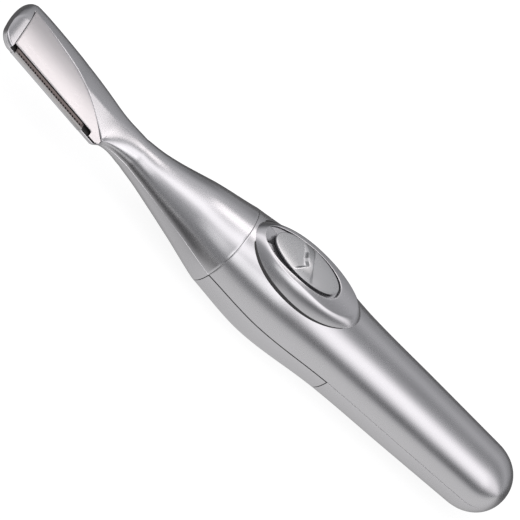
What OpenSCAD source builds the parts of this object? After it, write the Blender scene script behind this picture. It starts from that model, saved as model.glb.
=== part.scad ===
// Battery-driven eyebrow razor: a slim vibrating handle with a slide switch and a flat blade head.
// The handle lies along X with its tail at +X, the switch faces +Z and the blade edge faces -Y.
// Every piece is placed from the handle's own axis, then lifted so that the resting flat is at Z = 0.

/* [Body] */
// Radius of the belly at its widest
belly_r = 11.8; // [11.4:0.1:12.6]
// Radius at the ring seam between neck and body
seam_r = 10.3; // [10:0.1:10.8]
// Radius at the rear end of the battery door
waist_r = 10; // [9.8:0.1:10.6]
// Radius of the slim part of the tail
tail_r = 9.2; // [8.9:0.1:9.6]
// Radius where the rounded end starts
end_r = 8.4; // [7.8:0.1:8.7]
// Length of the rounded end
end_round = 9; // [7:0.5:11]
// Length from the ring seam to the tail end
body_len = 84.5; // [80:0.5:95]
// Length of the battery door
door_len = 35.6; // [34:0.2:38]
// Wall of the body shells and the door
wall = 1.4; // [1:0.1:1.6]
// Depth of the resting flat on the underside
land_depth = 0.5; // [0.2:0.1:0.8]

/* [Neck and head] */
// Length from the ring seam to the bend of the head
neck_len = 25.5; // [25:0.5:32]
// Radius of the neck at its thinnest
neck_r = 4.17; // [3.8:0.05:4.6]
// Rise of the neck's centre line over the handle's axis
neck_rise = 0.6; // [0.2:0.1:0.8]
// Wall of the hollow neck
neck_wall = 1.3; // [1:0.1:1.4]
// Angle by which the head rises towards the switch side
head_pitch = 8.7; // [5:0.1:12]
// Distance from the head's centre line to the cutting side
blade_side = 7.6; // [7.2:0.1:8]
// Distance from the head's centre line to the spine
spine_side = 7.4; // [7:0.1:8]
// Half thickness of the head along its cutting side
edge_t = 0.8; // [0.75:0.05:1]
// Slope of the flat facet across the head
facet_angle = 8.6; // [7:0.1:10]

/* [Blade cassette] */
// Distance from the bend to the cassette's heel
heel_s = 12; // [11:0.5:14]
// Length of the blade
blade_len = 22; // [22:0.1:30]
// Length of the solid tip in front of the cassette
tip_len = 3.2; // [2.3:0.1:3.4]
// Width of the blade
blade_w = 3.2; // [2.8:0.05:3.3]
// Thickness of the blade
blade_t = 0.25; // [0.15:0.01:0.26]
// Thickness of the plate under the blade
base_t = 0.32; // [0.25:0.01:0.34]
// Pitch of the guard's comb teeth
tooth_pitch = 0.8; // [0.7:0.05:1.2]

/* [Switch] */
// Length of the raised oval platform
bezel_len = 31; // [30.4:0.2:32]
// Width of the raised oval platform
bezel_w = 16.4; // [15.8:0.1:16.6]
// Height of the platform over the body
bezel_rise = 1.3; // [1:0.1:1.6]
// Length of the thumb button
button_len = 18.4; // [17.4:0.2:19.4]
// Width of the thumb button
button_w = 8.8; // [8.2:0.2:9.4]
// Height of the button's crown over its rim
button_crest = 1.1; // [0.8:0.1:1.4]
// Travel of the switch, towards the head
switch_travel = 1.8; // [1.2:0.1:2.2]

/* [Power] */
// Radius of the cell
cell_r = 5.25; // [5:0.05:5.25]
// Length of the cell with its cap
cell_len = 44.5; // [43.5:0.1:44.6]
// Radius of the motor can
motor_r = 4; // [3.6:0.1:4.1]
// Length of the motor can
motor_len = 12; // [10:0.5:12.5]
// Radius of the motor shaft
shaft_r = 0.5; // [0.4:0.05:0.6]
// Radius of the eccentric weight
weight_r = 3; // [2.4:0.1:3.2]
// Radius of a lead
lead_r = 0.45; // [0.35:0.05:0.45]

/* [Hidden] */

$fn = 64;
silver = "silver";
// Overrun of every cut past the face that it opens
over = 1;
// Gap at a seam that opens
seam_gap = 0.12;
// Clearance of a piece seated in another
seat = 0.1;
// Clearance of a pin in its hole
pin_gap = 0.02;
// Clearance of a turning shaft
run_gap = 0.03;
// Larger than the whole part
big = 400;

// Cut-out and head, from the cassette's heel to the tip
ear_len = 5.8;
front_wall = 1.6;
blade_s = heel_s + ear_len;
front_s = blade_s + blade_len + front_wall;
head_len = front_s + tip_len;

// Places along X: the box of the part is centred on the origin
belly_share = 0.185;
front_reach = neck_len + head_len * cos(head_pitch) + edge_t * sin(head_pitch);
ring_x = (body_len + front_reach) / 2 - body_len;
tail_x = ring_x + body_len;
door_x = ring_x + door_len;
pivot_x = ring_x - neck_len;
belly_x = ring_x + belly_share * body_len;
lift = belly_r - land_depth;

// Smooth curve through stations given as [place, value]
function span(pts, x, i = 0) = i >= len(pts) - 2 || x < pts[i + 1][0] ? i : span(pts, x, i + 1);
function rise(pts, a, b) = (pts[b][1] - pts[a][1]) / (pts[b][0] - pts[a][0]);
function tangent(pts, i) = rise(pts, max(i - 1, 0), min(i + 1, len(pts) - 1));
function hermite(a, b, ta, tb, t) =
    a * (2 * pow(t, 3) - 3 * t * t + 1) + ta * (pow(t, 3) - 2 * t * t + t)
    + b * (3 * t * t - 2 * pow(t, 3)) + tb * (pow(t, 3) - t * t);
function curve(pts, x) = let (
    i = span(pts, x),
    h = pts[i + 1][0] - pts[i][0],
    t = max(0, min(1, (x - pts[i][0]) / h)))
    hermite(pts[i][1], pts[i + 1][1], tangent(pts, i) * h, tangent(pts, i + 1) * h, t);
function mix(a, b, t) = a + (b - a) * t;
function smooth(t) = let (c = max(0, min(1, t))) c * c * (3 - 2 * c);

// Body: radius along X, as shares of the length
slim_share = 0.66;
dome_x = tail_x - end_round;
body_stations = [
    [ring_x, seam_r],
    [belly_x, belly_r],
    [door_x, waist_r],
    [mix(ring_x, tail_x, slim_share), tail_r],
    [dome_x, end_r]];
body_steps = 26;
dome_steps = 10;
dome_power = 0.92;
function body_r(x) = curve(body_stations, x);
// Inner radius of neck and body at a place along X
function neck_bore(x) = neck_radius(pivot_x - x) - neck_wall;
function bore_r(x) = x < ring_x ? neck_bore(x) : body_r(x) - wall;
// Outline of the body's half section, drawn in by a wall
function body_outline(inset) = concat(
    [[0, ring_x]],
    [for (i = [0:body_steps]) let (x = mix(ring_x, dome_x, i / body_steps)) [body_r(x) - inset, x]],
    [for (i = [1:dome_steps]) let (a = 90 * i / dome_steps)
        [(end_r - inset) * pow(max(0, cos(a)), dome_power),
         dome_x + (end_round - inset) * pow(sin(a), dome_power)]]);

// Neck and head: s runs along the centre line from the bend, negative towards the body
bend = 10;
bend_r = bend / tan(head_pitch / 2);
neck_place_shares = [1, 0.6, 0.3, 0.08, -0.13];
neck_radius_shares = [1, 0.625, 0.315, 0.119, 0];
neck_stations = [for (i = [0:len(neck_place_shares) - 1])
    [-neck_len * neck_place_shares[i], mix(neck_r, seam_r, neck_radius_shares[i])]];
neck_end = neck_stations[len(neck_stations) - 1][0];
function neck_radius(s) = curve(neck_stations, min(s, neck_end));
// Point at s along the centre line, y across and n above it
rise_share = 0.45;
function centre_z(s) = neck_rise * smooth((s + neck_len) / (rise_share * neck_len));
function head_point(s, y, n) =
    s <= -bend ? [pivot_x - s, y, n + centre_z(s)] :
    s >= bend ? [pivot_x - s * cos(head_pitch) + n * sin(head_pitch), y,
                 neck_rise + s * sin(head_pitch) + n * cos(head_pitch)] :
    let (a = head_pitch * (s + bend) / (2 * bend))
    [pivot_x + bend - (bend_r - n) * sin(a), y, neck_rise + bend_r - (bend_r - n) * cos(a)];

// Plan outline of the head
heel_place_shares = [0, 0.42, 0.76, 0.93, 1];
heel_y_shares = [0, 0.1, 0.42, 0.8, 1];
heel_round = 1.2;
heel_end = heel_s + heel_round;
heel_stations = [for (i = [0:4])
    [mix(neck_end, heel_end, heel_place_shares[i]), mix(neck_r, blade_side, heel_y_shares[i])]];
spine_place_shares = [0, 0.14, 0.31, 0.48, 0.7, 0.92, 1];
spine_y_shares = [0, 0.22, 0.65, 0.87, 0.98, 1, 0.95];
tip_round = 4.8;
tip_s = head_len - tip_round;
spine_stations = [for (i = [0:6])
    [mix(neck_end, tip_s, spine_place_shares[i]), mix(neck_r, spine_side, spine_y_shares[i])]];
tip_mid_y = -1;
tip_corner = 3.2;
corner_s = head_len - tip_corner;
function blade_y(s) =
    s < neck_end ? -neck_radius(s) :
    s < corner_s ? -min(blade_side, curve(heel_stations, s)) :
    tip_corner - blade_side - sqrt(max(0, pow(tip_corner, 2) - pow(s - corner_s, 2)));
function spine_y(s) =
    s < neck_end ? neck_radius(s) :
    s < tip_s ? curve(spine_stations, s) :
    mix(tip_mid_y, spine_stations[6][1], sqrt(max(0, 1 - pow((s - tip_s) / tip_round, 2))));

// Edge of the flat facet, from the heel to the tip
facet_place_shares = [0, 0.193, 0.369, 0.558, 0.8, 1];
facet_y_shares = [0.09, 0.376, 0.549, 0.649, 0.716, 0.755];
facet_edge = [for (i = [0:5])
    [mix(heel_s, front_s, facet_place_shares[i]), mix(-blade_side, spine_side, facet_y_shares[i])]];
function facet_y(s) = curve(facet_edge, s);
ridge_least = mix(-blade_side, spine_side, facet_y_shares[2]);
function facet_n(y) = edge_t + tan(facet_angle) * (y + blade_side);

// Height of the head's top and back over the parting surface
edge_round = 0.5;
ridge_fall_share = 0.3;
back_swell = 1.1;
back_round = 1.6;
blend_from = 2;
blend_to = 18;
ridge_width_share = 0.62;
tip_fall_share = 0.3;
function tip_part(s) = max(0, (s - front_s) / (head_len - front_s));
function round_in(d, r) = sqrt(max(0, 1 - pow(1 - min(1, max(0, d / r)), 2)));
function ridge_y(s, yb, ys) = min(max(ridge_least, facet_y(s)), mix(yb, ys, ridge_width_share));
function wedge_n(s, y, yb, ys) = let (
    yr = ridge_y(s, yb, ys),
    d = max(0, (y - yr) / (ys - yr)),
    full = facet_n(min(y, yr)) * (1 - ridge_fall_share * d) * sqrt(max(0, 1 - pow(d, 3))))
    round_in(y - yb, edge_round) * full * (1 - tip_fall_share * tip_part(s));
function back_n(s, y, yb, ys, q) = round_in(y - yb, edge_round) * round_in(ys - y, back_round)
    * (edge_t + back_swell * (1 - smooth(tip_part(s))) * sin(180 * q));
swell_place_shares = [0, 0.33, 0.7, 1];
swell_radius_shares = [1, 0.93, 0.77, 0.62];
swell_stations = [for (i = [0:3])
    [mix(neck_end, blend_to, swell_place_shares[i]), neck_r * swell_radius_shares[i]]];
function swell(s) = s < neck_end ? neck_radius(s) : curve(swell_stations, s);
function top_n(s, y, q) = mix(swell(s) * sin(180 * q), wedge_n(s, y, blade_y(s), spine_y(s)),
    smooth((s - blend_from) / (blend_to - blend_from)));
function low_n(s, y, q) = mix(swell(s) * sin(180 * q), back_n(s, y, blade_y(s), spine_y(s), q),
    smooth((s - blend_from) / (blend_to - blend_from)));

// Stations of the neck and head, closer at the bend, the heel and the tip
neck_steps = 6;
bend_steps = 8;
flat_steps = 16;
tip_steps = 8;
ring_steps = 18;
loft_stations = concat(
    [for (i = [0:neck_steps - 1]) mix(-neck_len, -bend, i / neck_steps)],
    [for (i = [0:bend_steps - 1]) mix(-bend, bend, i / bend_steps)],
    [for (i = [0:flat_steps - 1]) mix(bend, tip_s, i / flat_steps)],
    [for (i = [0:tip_steps]) tip_s + tip_round * sin(90 * i / tip_steps)]);
function loft_ring(s, side) = [for (j = [0:ring_steps]) let (
    q = j / ring_steps,
    y = mix(blade_y(s), spine_y(s), (1 - cos(180 * q)) / 2),
    ends = j == 0 || j == ring_steps,
    n = ends ? 0 : side > 0 ? top_n(s, y, q) : -low_n(s, y, q))
    head_point(s, y, n)];

// Half of the neck and head as one solid, above or below the parting surface
module neck_half(side) {
    m = ring_steps + 1;
    k = len(loft_stations) - 1;
    points = [for (s = loft_stations) each loft_ring(s, side)];
    skin = [for (i = [0:k - 1], j = [0:ring_steps]) let (
        a = i * m + j, b = i * m + (j + 1) % m, c = b + m, d = a + m)
        each [[a, c, b], [a, d, c]]];
    caps = [for (j = [1:ring_steps - 1]) each [[0, j, j + 1], [k * m, k * m + j + 1, k * m + j]]];
    faces = concat(skin, caps);
    polyhedron(points, side > 0 ? faces : [for (f = faces) [f[0], f[2], f[1]]], convexity = 6);
}

// Placing: on the handle's axis, in the head's own frame, and along X
module lifted() { translate([0, 0, lift]) children(); }
module head_frame() { translate([pivot_x, 0, neck_rise]) rotate([0, head_pitch, 0]) children(); }
module along_x(x) { translate([x, 0, 0]) rotate([0, 90, 0]) children(); }
module turned(points) { rotate([0, 90, 0]) rotate_extrude() polygon(points); }
module slab_x(x0, x1) { translate([x0, -big / 2, -big / 2]) cube([x1 - x0, big, big]); }
module above(z) { translate([-big / 2, -big / 2, z]) cube([big, big, big]); }
module below(z) { translate([-big / 2, -big / 2, z - big]) cube([big, big, big]); }
module block(x0, x1, y0, y1, z0, z1) { translate([x0, y0, z0]) cube([x1 - x0, y1 - y0, z1 - z0]); }
// Plate of a plan outline given in s and y, between two heights over the parting surface
module head_plate(outline, n0, n1) {
    translate([0, 0, n0]) linear_extrude(n1 - n0) polygon([for (p = outline) [-p[0], p[1]]]);
}
module head_block(s0, s1, y0, y1, n0, n1) { block(-s1, -s0, y0, y1, n0, n1); }

// Body shells
module body_mass(inset) { turned(body_outline(inset)); }
module body_wall() {
    difference() {
        body_mass(0);
        body_mass(wall);
        turned([[0, ring_x - over], [seam_r - wall, ring_x - over], [seam_r - wall, ring_x], [0, ring_x]]);
    }
}

// Switch platform: plan ovals, concentric along X with their own centres
bezel_set = 0.6;
recess_set = 1.8;
recess_spare = 0.5;
bezel_foot_share = 0.68;
bezel_x = ring_x + bezel_set + bezel_len / 2;
button_x = ring_x + bezel_set + recess_set + recess_spare + switch_travel + button_len / 2;
bezel_z = bezel_foot_share * belly_r;
oval_steps = 48;
function oval(x, l, w) = [for (i = [0:oval_steps - 1]) let (a = 360 * i / oval_steps)
    [x + l / 2 * cos(a), w / 2 * sin(a)]];
module oval_plate(x, l, w, z0, z1) { translate([0, 0, z0]) linear_extrude(z1 - z0) polygon(oval(x, l, w)); }

// Screws that hold the tray under the upper shell
screw_r = 0.8;
head_r = 1.35;
head_h = 0.9;
screw_len = 4.5;
boss_r = 1.6;
screw_y = 7.9;
screw_place_shares = [0.112, 0.3];
screw_places = [for (share = screw_place_shares, side = [-1, 1])
    [mix(ring_x, tail_x, share), side * screw_y]];
wing_z = 0.9;
wing_t = 1.5;

module upper_body_shell() {
    color(silver) lifted() difference() {
        union() {
            intersection() { body_wall(); above(0); }
            intersection() {
                body_mass(wall / 2);
                union() for (p = screw_places)
                    translate([p[0], p[1], wing_z]) cylinder(r = boss_r, h = belly_r);
            }
        }
        for (p = screw_places) translate([p[0], p[1], wing_z - over])
            cylinder(r = screw_r + pin_gap, h = screw_len - wing_t + over + seat);
        oval_plate(bezel_x, bezel_len + 2 * seat, bezel_w + 2 * seat, bezel_z - seat / 2, belly_r * 2);
    }
}

module tail_lower_shell() {
    color(silver) lifted() intersection() { body_wall(); below(0); slab_x(door_x, tail_x + over); }
}

// Door: lower half of the belly, with a resting flat and two snap tongues on each side
tongue_len = 5;
tongue_t = 0.8;
tongue_rise = 2;
tongue_place_shares = [0.36, 0.82];
tongue_places = [for (share = tongue_place_shares) ring_x + share * door_len];
module tongue(x, side) {
    x1 = x + tongue_len;
    r = min(body_r(x), body_r(x1)) - wall;
    y = sqrt(r * r - tongue_rise * tongue_rise) - seat;
    mirror([0, side > 0 ? 0 : 1, 0]) block(x, x1, y - tongue_t, y, -2 * tongue_rise, tongue_rise);
}
module battery_door() {
    color(silver) lifted() difference() {
        union() {
            intersection() {
                body_wall();
                below(-seam_gap);
                slab_x(ring_x + seam_gap, door_x - seam_gap);
            }
            intersection() {
                body_mass(wall / 2);
                union() for (x = tongue_places, side = [-1, 1]) tongue(x, side);
            }
        }
        below(land_depth - belly_r);
    }
}

// Neck shells: the hollow neck, then the solid head
motor_set = 2.5;
motor_x = ring_x - motor_set - motor_len;
weight_len = 4.5;
shaft_free = 5;
cavity_end = motor_x - weight_len - shaft_free;
bore_steps = 12;
module neck_cavity() {
    turned(concat([[0, cavity_end]],
        [for (i = [0:bore_steps]) let (x = mix(cavity_end, ring_x, i / bore_steps)) [neck_bore(x), x]],
        [[seam_r - neck_wall, ring_x + over], [0, ring_x + over]]));
}
facet_steps = 18;
function facet_curve(shift) = [for (i = [0:facet_steps]) let (s = mix(heel_s, front_s, i / facet_steps))
    [s - shift, facet_y(s) + shift]];
function cut_out(shift) = concat(
    facet_curve(shift),
    [[front_s + shift, facet_y(front_s) + shift], [front_s + shift, -2 * blade_side],
     [heel_s - shift, -2 * blade_side]]);

// Tongue under the blade plate, and its pocket in the lower shell
rail_set = 9;
rail_inset = 1;
rail_s = heel_s + rail_set;
rail_len = 13;
rail_depth = 0.4;
rail_y = facet_y(rail_s) - rail_inset;
module neck_upper_shell() {
    color(silver) lifted() difference() {
        neck_half(1);
        neck_cavity();
        head_frame() head_plate(cut_out(seat), -over, spine_side);
    }
}
module neck_lower_shell() {
    color(silver) lifted() difference() {
        neck_half(-1);
        neck_cavity();
        head_frame() union() {
            head_block(rail_s - seat, rail_s + rail_len + seat, -2 * blade_side, rail_y + seat,
                -rail_depth - pin_gap, over);
            head_block(guard_s - seat, guard_s + guard_len + seat, -2 * blade_side,
                guard_y - seat, -spine_side, over);
        }
    }
}

// Blade cassette, in the head's frame: plate, blade, cover and the comb guard before the edge
guard_over = 0.4;
guard_w = 1.1;
guard_t = 0.38;
guard_n = 0.22;
guard_reach = 0.6;
cover_set = 0.75;
edge_set = 0.1;
ear_set = 2.3;
guard_s = blade_s - guard_over;
guard_len = blade_len + 2 * guard_over;
guard_y = guard_w - guard_reach - blade_side;
cover_y = guard_y + cover_set;
edge_y = guard_y + edge_set;
base_n = 0.03;
blade_n = base_n + base_t;
cover_n = blade_n + blade_t + pin_gap / 2;
pin_r = 0.75;
pin_place_shares = [0.24, 0.76];
pin_y_share = 0.62;
pin_places = [for (share = pin_place_shares)
    [-(blade_s + share * blade_len), edge_y + pin_y_share * blade_w]];
heel_ear_s = guard_s - ear_set;
heel_s_shares = [1, 0.42, 0];
heel_side_shares = [1, 0.967, 0.92];
// The cover's outline: the facet's curve, a straight front, the long edge and the ear at the heel
function cover_outline() = concat(
    facet_curve(0),
    [[front_s, facet_y(front_s)], [front_s, cover_y], [heel_ear_s, cover_y], [heel_ear_s, -blade_side]],
    [for (i = [0:2]) [heel_s + heel_round * heel_s_shares[i], -blade_side * heel_side_shares[i]]]);
module blade_cover() {
    color(silver) lifted() head_frame() difference() {
        head_plate(cover_outline(), cover_n, spine_side);
        translate([0, -blade_side, edge_t]) rotate([facet_angle, 0, 0]) above(0);
    }
}
plate_inset = 0.5;
module blade_base() {
    inset = plate_inset;
    base_front = blade_s + blade_len - seat;
    base_back = blade_s + 2 * seat;
    color("gray") lifted() head_frame() union() {
        head_plate(concat(
            [for (p = facet_curve(-inset)) if (p[0] > base_back + seat && p[0] < base_front - seat) p],
            [[base_front, facet_y(base_front - inset) - inset], [base_front, edge_y + inset],
             [base_back, edge_y + inset]]), base_n, base_n + base_t);
        head_block(rail_s, rail_s + rail_len, edge_y + 2 * inset, rail_y, -rail_depth, base_n + base_t / 2);
        for (p = pin_places) translate([p[0], p[1], base_n + base_t / 2])
            cylinder(r = pin_r, h = base_t / 2 + blade_t);
    }
}
blade_bevel = 0.6;
module razor_blade() {
    bevel = blade_bevel;
    outline = [[edge_y, blade_t / 2], [edge_y + bevel, blade_t], [edge_y + blade_w, blade_t],
        [edge_y + blade_w, 0], [edge_y + bevel, 0]];
    color("lightsteelblue") lifted() head_frame() translate([0, 0, blade_n]) difference() {
        translate([-blade_s, 0, 0]) rotate([90, 0, -90]) linear_extrude(blade_len)
            polygon([for (p = outline) [-p[0], p[1]]]);
        for (p = pin_places) translate([p[0], p[1], -over]) cylinder(r = pin_r + pin_gap, h = 3 * over);
    }
}
tooth_gap_share = 0.4;
tooth_depth_share = 0.5;
guard_leg = 0.35;
leg_reach = 1.6;
teeth = floor((guard_len - 2 * guard_leg) / tooth_pitch);
function comb_outline() = let (
    y0 = guard_y - guard_w, yt = y0 + guard_w * (1 - tooth_depth_share),
    first = guard_s + (guard_len - teeth * tooth_pitch) / 2)
    concat([[guard_s, y0], [guard_s, guard_y + leg_reach], [guard_s + guard_leg, guard_y + leg_reach],
            [guard_s + guard_leg, guard_y]],
        [for (i = [0:teeth - 1]) let (
            a = first + (i + (1 - tooth_gap_share) / 2) * tooth_pitch, b = a + tooth_gap_share * tooth_pitch)
            each [[a, guard_y], [a, yt], [b, yt], [b, guard_y]]],
        [[guard_s + guard_len - guard_leg, guard_y], [guard_s + guard_len - guard_leg, guard_y + leg_reach],
         [guard_s + guard_len, guard_y + leg_reach], [guard_s + guard_len, y0]]);
module blade_guard() {
    color("lightgray") lifted() head_frame() head_plate(comb_outline(), guard_n, guard_n + guard_t);
}

// Switch: the platform carries the button, which drives a slider and its contact over a small board
bezel_slope_w = 2.4;
bezel_spread_share = 0.8;
bezel_power = 1.7;
bezel_steps = 12;
ring_crowding = 0.7;
recess_gap = 0.6;
button_seat_share = 0.885;
button_z = button_seat_share * (belly_r + bezel_rise);
floor_gap = 0.1;
bezel_plate = 1.1;
bezel_lip = 1.8;
stem_r = 1.1;
stem_place_share = 0.15;
stem_x = [button_x - stem_place_share * button_len, button_x + stem_place_share * button_len];
slider_t = 1.4;
slider_w = 6;
slider_len_share = 0.48;
slider_len = slider_len_share * button_len;
slider_top = button_z - floor_gap - bezel_plate - floor_gap;
slider_z = slider_top - slider_t;
// Height of the platform over the axis, for a place on its oval
function bezel_oval(x, y) = sqrt(pow((x - bezel_x) / (bezel_len / 2), 2) + pow(y / (bezel_w / 2), 2));
function bezel_n(x, y) = let (
    r = body_r(x),
    inside = norm([x - bezel_x, y]) * (1 / bezel_oval(x, y) - 1),
    w = 1 - pow(1 - min(1, max(0, inside) / bezel_slope_w), bezel_power))
    mix(sqrt(r * r - y * y) + seat, sqrt(r * r - pow(bezel_spread_share * y, 2)) + bezel_rise, w);
// Solid over an oval plan: rings of points on a top surface, and a flat base
module oval_dome(top, base) {
    n = oval_steps;
    k = len(top) - 1;
    points = concat([for (ring = top) each ring], [for (p = top[k]) [p[0], p[1], base]],
        [[top[0][0][0], 0, base]]);
    skin = [for (i = [0:k], j = [0:n - 1]) let (
        a = i * n + j, b = i * n + (j + 1) % n, c = b + n, d = a + n)
        each [[a, b, c], [a, c, d]]];
    floor_fan = [for (j = [0:n - 1]) [(k + 1) * n + j, (k + 1) * n + (j + 1) % n, (k + 2) * n]];
    crown = [for (j = [1:n - 2]) [0, j + 1, j]];
    polyhedron(points, concat(skin, floor_fan, crown), convexity = 6);
}
crown_share = 0.06;
function bezel_rings() = [for (i = [0:bezel_steps]) let (
    f = mix(crown_share, 1, pow(i / bezel_steps, ring_crowding)))
    [for (p = oval(bezel_x, f * bezel_len, f * bezel_w)) [p[0], p[1], bezel_n(p[0], p[1])]]];
module switch_bezel() {
    recess_len = button_len + switch_travel + 2 * recess_spare;
    color(silver) lifted() difference() {
        oval_dome(bezel_rings(), bezel_z);
        oval_plate(button_x - switch_travel / 2, recess_len, button_w + 2 * recess_gap,
            button_z - floor_gap, 2 * belly_r);
        oval_plate(bezel_x, bezel_len - 2 * bezel_lip, bezel_w - 2 * bezel_lip,
            bezel_z - over, button_z - floor_gap - bezel_plate);
        block(stem_x[0] - stem_r - switch_travel - seat, stem_x[1] + stem_r + seat,
            -stem_r - seat, stem_r + seat, bezel_z, 2 * belly_r);
    }
}

// Button: a crowned oval with a dish in front and one behind, which leave a curved ridge between them.
// The edges of the dishes are given across the button, as shares of its half width and half length.
button_steps = 14;
rim_rise = 1;
dish_rise = 0.15;
dish_ease = 0.5;
front_dish = [[-1, -0.28], [-0.73, -0.185], [-0.29, 0], [-0.11, -0.076], [0.07, -0.12], [0.4, -0.163],
    [0.82, -0.272], [1, -0.326]];
rear_dish = [[-1, 0.326], [-0.8, 0.26], [-0.56, 0.222], [-0.12, 0.139], [0.33, 0.073], [0.875, 0.022], [1, 0]];
function dish_edge(y, dish) = button_x + button_len / 2 * lookup(2 * y / button_w, dish);
function button_n(x, y, f) = let (
    inside = max(dish_edge(y, front_dish) - x, x - dish_edge(y, rear_dish)),
    dished = smooth(0.5 + inside / dish_ease))
    button_z + rim_rise + mix(button_crest * (1 - f * f), dish_rise * (1 - pow(f, 4)), dished);
function button_rings() = [for (i = [0:button_steps]) let (f = mix(crown_share, 1, i / button_steps))
    [for (p = oval(button_x, f * button_len, f * button_w)) [p[0], p[1], button_n(p[0], p[1], f)]]];
module switch_button() {
    color(silver) lifted() union() {
        oval_dome(button_rings(), button_z);
        for (x = stem_x) translate([x, 0, slider_z])
            cylinder(r = stem_r, h = button_z - slider_z + rim_rise / 2);
    }
}
module switch_slider() {
    color("dimgray") lifted() difference() {
        block(button_x - slider_len / 2, button_x + slider_len / 2, -slider_w / 2, slider_w / 2,
            slider_z, slider_top);
        for (x = stem_x) translate([x, 0, slider_z - over])
            cylinder(r = stem_r + pin_gap, h = slider_t + 2 * over);
    }
}

// Tray: centre of the cell, cradle over it, and the board on two posts
cell_z = -1.5;
cell_gap = 0.2;
cradle_r = cell_r + cell_gap;
cradle_t = 0.9;
collar_back = 3.4;
collar_t = 1;
wall_set = 1.8;
wall_x = ring_x + wall_set;
wall_t = 1.6;
contact_t = 0.3;
cap_h = 0.8;
cap_r = 2.6;
cell_x = wall_x + wall_t + contact_t;
coil_len = 4.4;
coil_x = cell_x + cell_len;
rear_x = coil_x + coil_len + contact_t;
board_set = 2.7;
board_x = wall_x + board_set;
board_len = 23;
board_w = 8.4;
board_t = 0.8;
board_seat_share = 0.542;
board_z = board_seat_share * belly_r;
post_r = 1.3;
post_place_shares = [0.12, 0.9];
post_x = [for (share = post_place_shares) board_x + share * board_len];
rail_t = 0.25;
rail_w = 1.2;
rail_gap = 3.4;
lead_y = 3;
lead_z = 4.6;
lead_hole = 1;
notch_w = 4;
module tray_disc(x0, x1) {
    along_x(x0) cylinder(r = min(bore_r(x0), bore_r(x1)) - seat, h = x1 - x0);
}
function collar_side(inset) = concat(
    [for (i = [0:2]) let (x = ring_x - collar_back * (1 - i / 2))
        [min(neck_bore(x), seam_r - max(wall, neck_wall) + collar_back * (1 - i / 2)) - inset, x]],
    [for (i = [1:2]) let (x = mix(ring_x, wall_x + wall_t, i / 2))
        [seam_r - max(wall, neck_wall) - inset, x]]);
function reversed(list) = [for (i = [len(list) - 1:-1:0]) list[i]];
module battery_tray() {
    color("whitesmoke") lifted() difference() {
        union() {
            turned(concat(collar_side(seat), reversed(collar_side(seat + collar_t))));
            tray_disc(wall_x, wall_x + wall_t);
            tray_disc(rear_x, rear_x + wall_t);
            intersection() {
                translate([0, 0, cell_z]) difference() {
                    along_x(wall_x + wall_t / 2) cylinder(r = cradle_r + cradle_t, h = rear_x - wall_x);
                    along_x(wall_x) cylinder(r = cradle_r, h = rear_x - wall_x + wall_t / 2);
                }
                above(cell_z);
            }
            for (p = screw_places) mirror([0, p[1] > 0 ? 0 : 1, 0]) let (
                x0 = p[0] - boss_r - cradle_t,
                x1 = p[0] + boss_r + cradle_t,
                reach = min(screw_y + boss_r, bore_r(x0) - 2 * seat, bore_r(x1) - 2 * seat))
                block(x0, x1, cradle_r, reach, wing_z - wing_t, wing_z - seat / 2);
            for (x = post_x) translate([x, 0, cell_z + cradle_r + cradle_t / 2])
                cylinder(r = post_r, h = board_z - cell_z - cradle_r - cradle_t / 2);
        }
        for (p = screw_places) translate([p[0], p[1], -belly_r])
            cylinder(r = screw_r + seat, h = 2 * belly_r);
        for (side = [-1, 1]) translate([wall_x - over, side * lead_y, lead_z]) rotate([0, 90, 0])
            cylinder(r = lead_hole, h = wall_t + 2 * over);
        block(wall_x + wall_t, board_x + cradle_t, -lead_y, lead_y, -cell_z, 2 * belly_r);
        block(rear_x - cradle_r / 2, rear_x, lead_y - lead_hole, lead_y + notch_w - lead_hole, -cell_z / 2,
            belly_r);
        oval_plate(bezel_x, bezel_len + 2 * seat, bezel_w + 2 * seat, bezel_z - seat, 2 * belly_r);
    }
}
module tray_screws() {
    top = wing_z - wing_t;
    color("gainsboro") lifted() for (p = screw_places) translate([p[0], p[1], 0]) difference() {
        union() {
            translate([0, 0, top]) cylinder(r = screw_r, h = screw_len);
            translate([0, 0, top - head_h]) cylinder(r = head_r, h = head_h);
        }
        for (a = [0, 90]) rotate([0, 0, a]) block(-head_r / 2, head_r / 2, -contact_t / 2, contact_t / 2,
            top - head_h - over, top - head_h / 2);
    }
}
module switch_board() {
    color("darkgreen") lifted() block(board_x, board_x + board_len, -board_w / 2, board_w / 2,
        board_z, board_z + board_t);
}
// Fixed contacts: one rail that the slider always touches and one that it reaches at the head's end
wiper_len = 3;
wiper_x = button_x - wiper_len / 2;
contact_set = 3.2;
module switch_contacts() {
    z = board_z + board_t;
    color("goldenrod") lifted() union() {
        block(board_x + contact_set, wiper_x + wiper_len + switch_travel,
            rail_gap / 2, rail_gap / 2 + rail_w, z, z + rail_t);
        block(wiper_x - 2 * switch_travel, wiper_x - switch_travel / 2,
            -rail_gap / 2 - rail_w, -rail_gap / 2, z, z + rail_t);
    }
}
module switch_wiper() {
    z = board_z + board_t + rail_t + pin_gap;
    color("gold") lifted() union() {
        block(wiper_x, wiper_x + wiper_len, -rail_gap / 2 - rail_w, rail_gap / 2 + rail_w,
            slider_z - contact_t, slider_z);
        for (side = [0, 1]) mirror([0, side, 0])
            block(wiper_x, wiper_x + contact_t, rail_gap / 2, rail_gap / 2 + rail_w,
                z, slider_z - contact_t / 2);
    }
}

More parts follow.
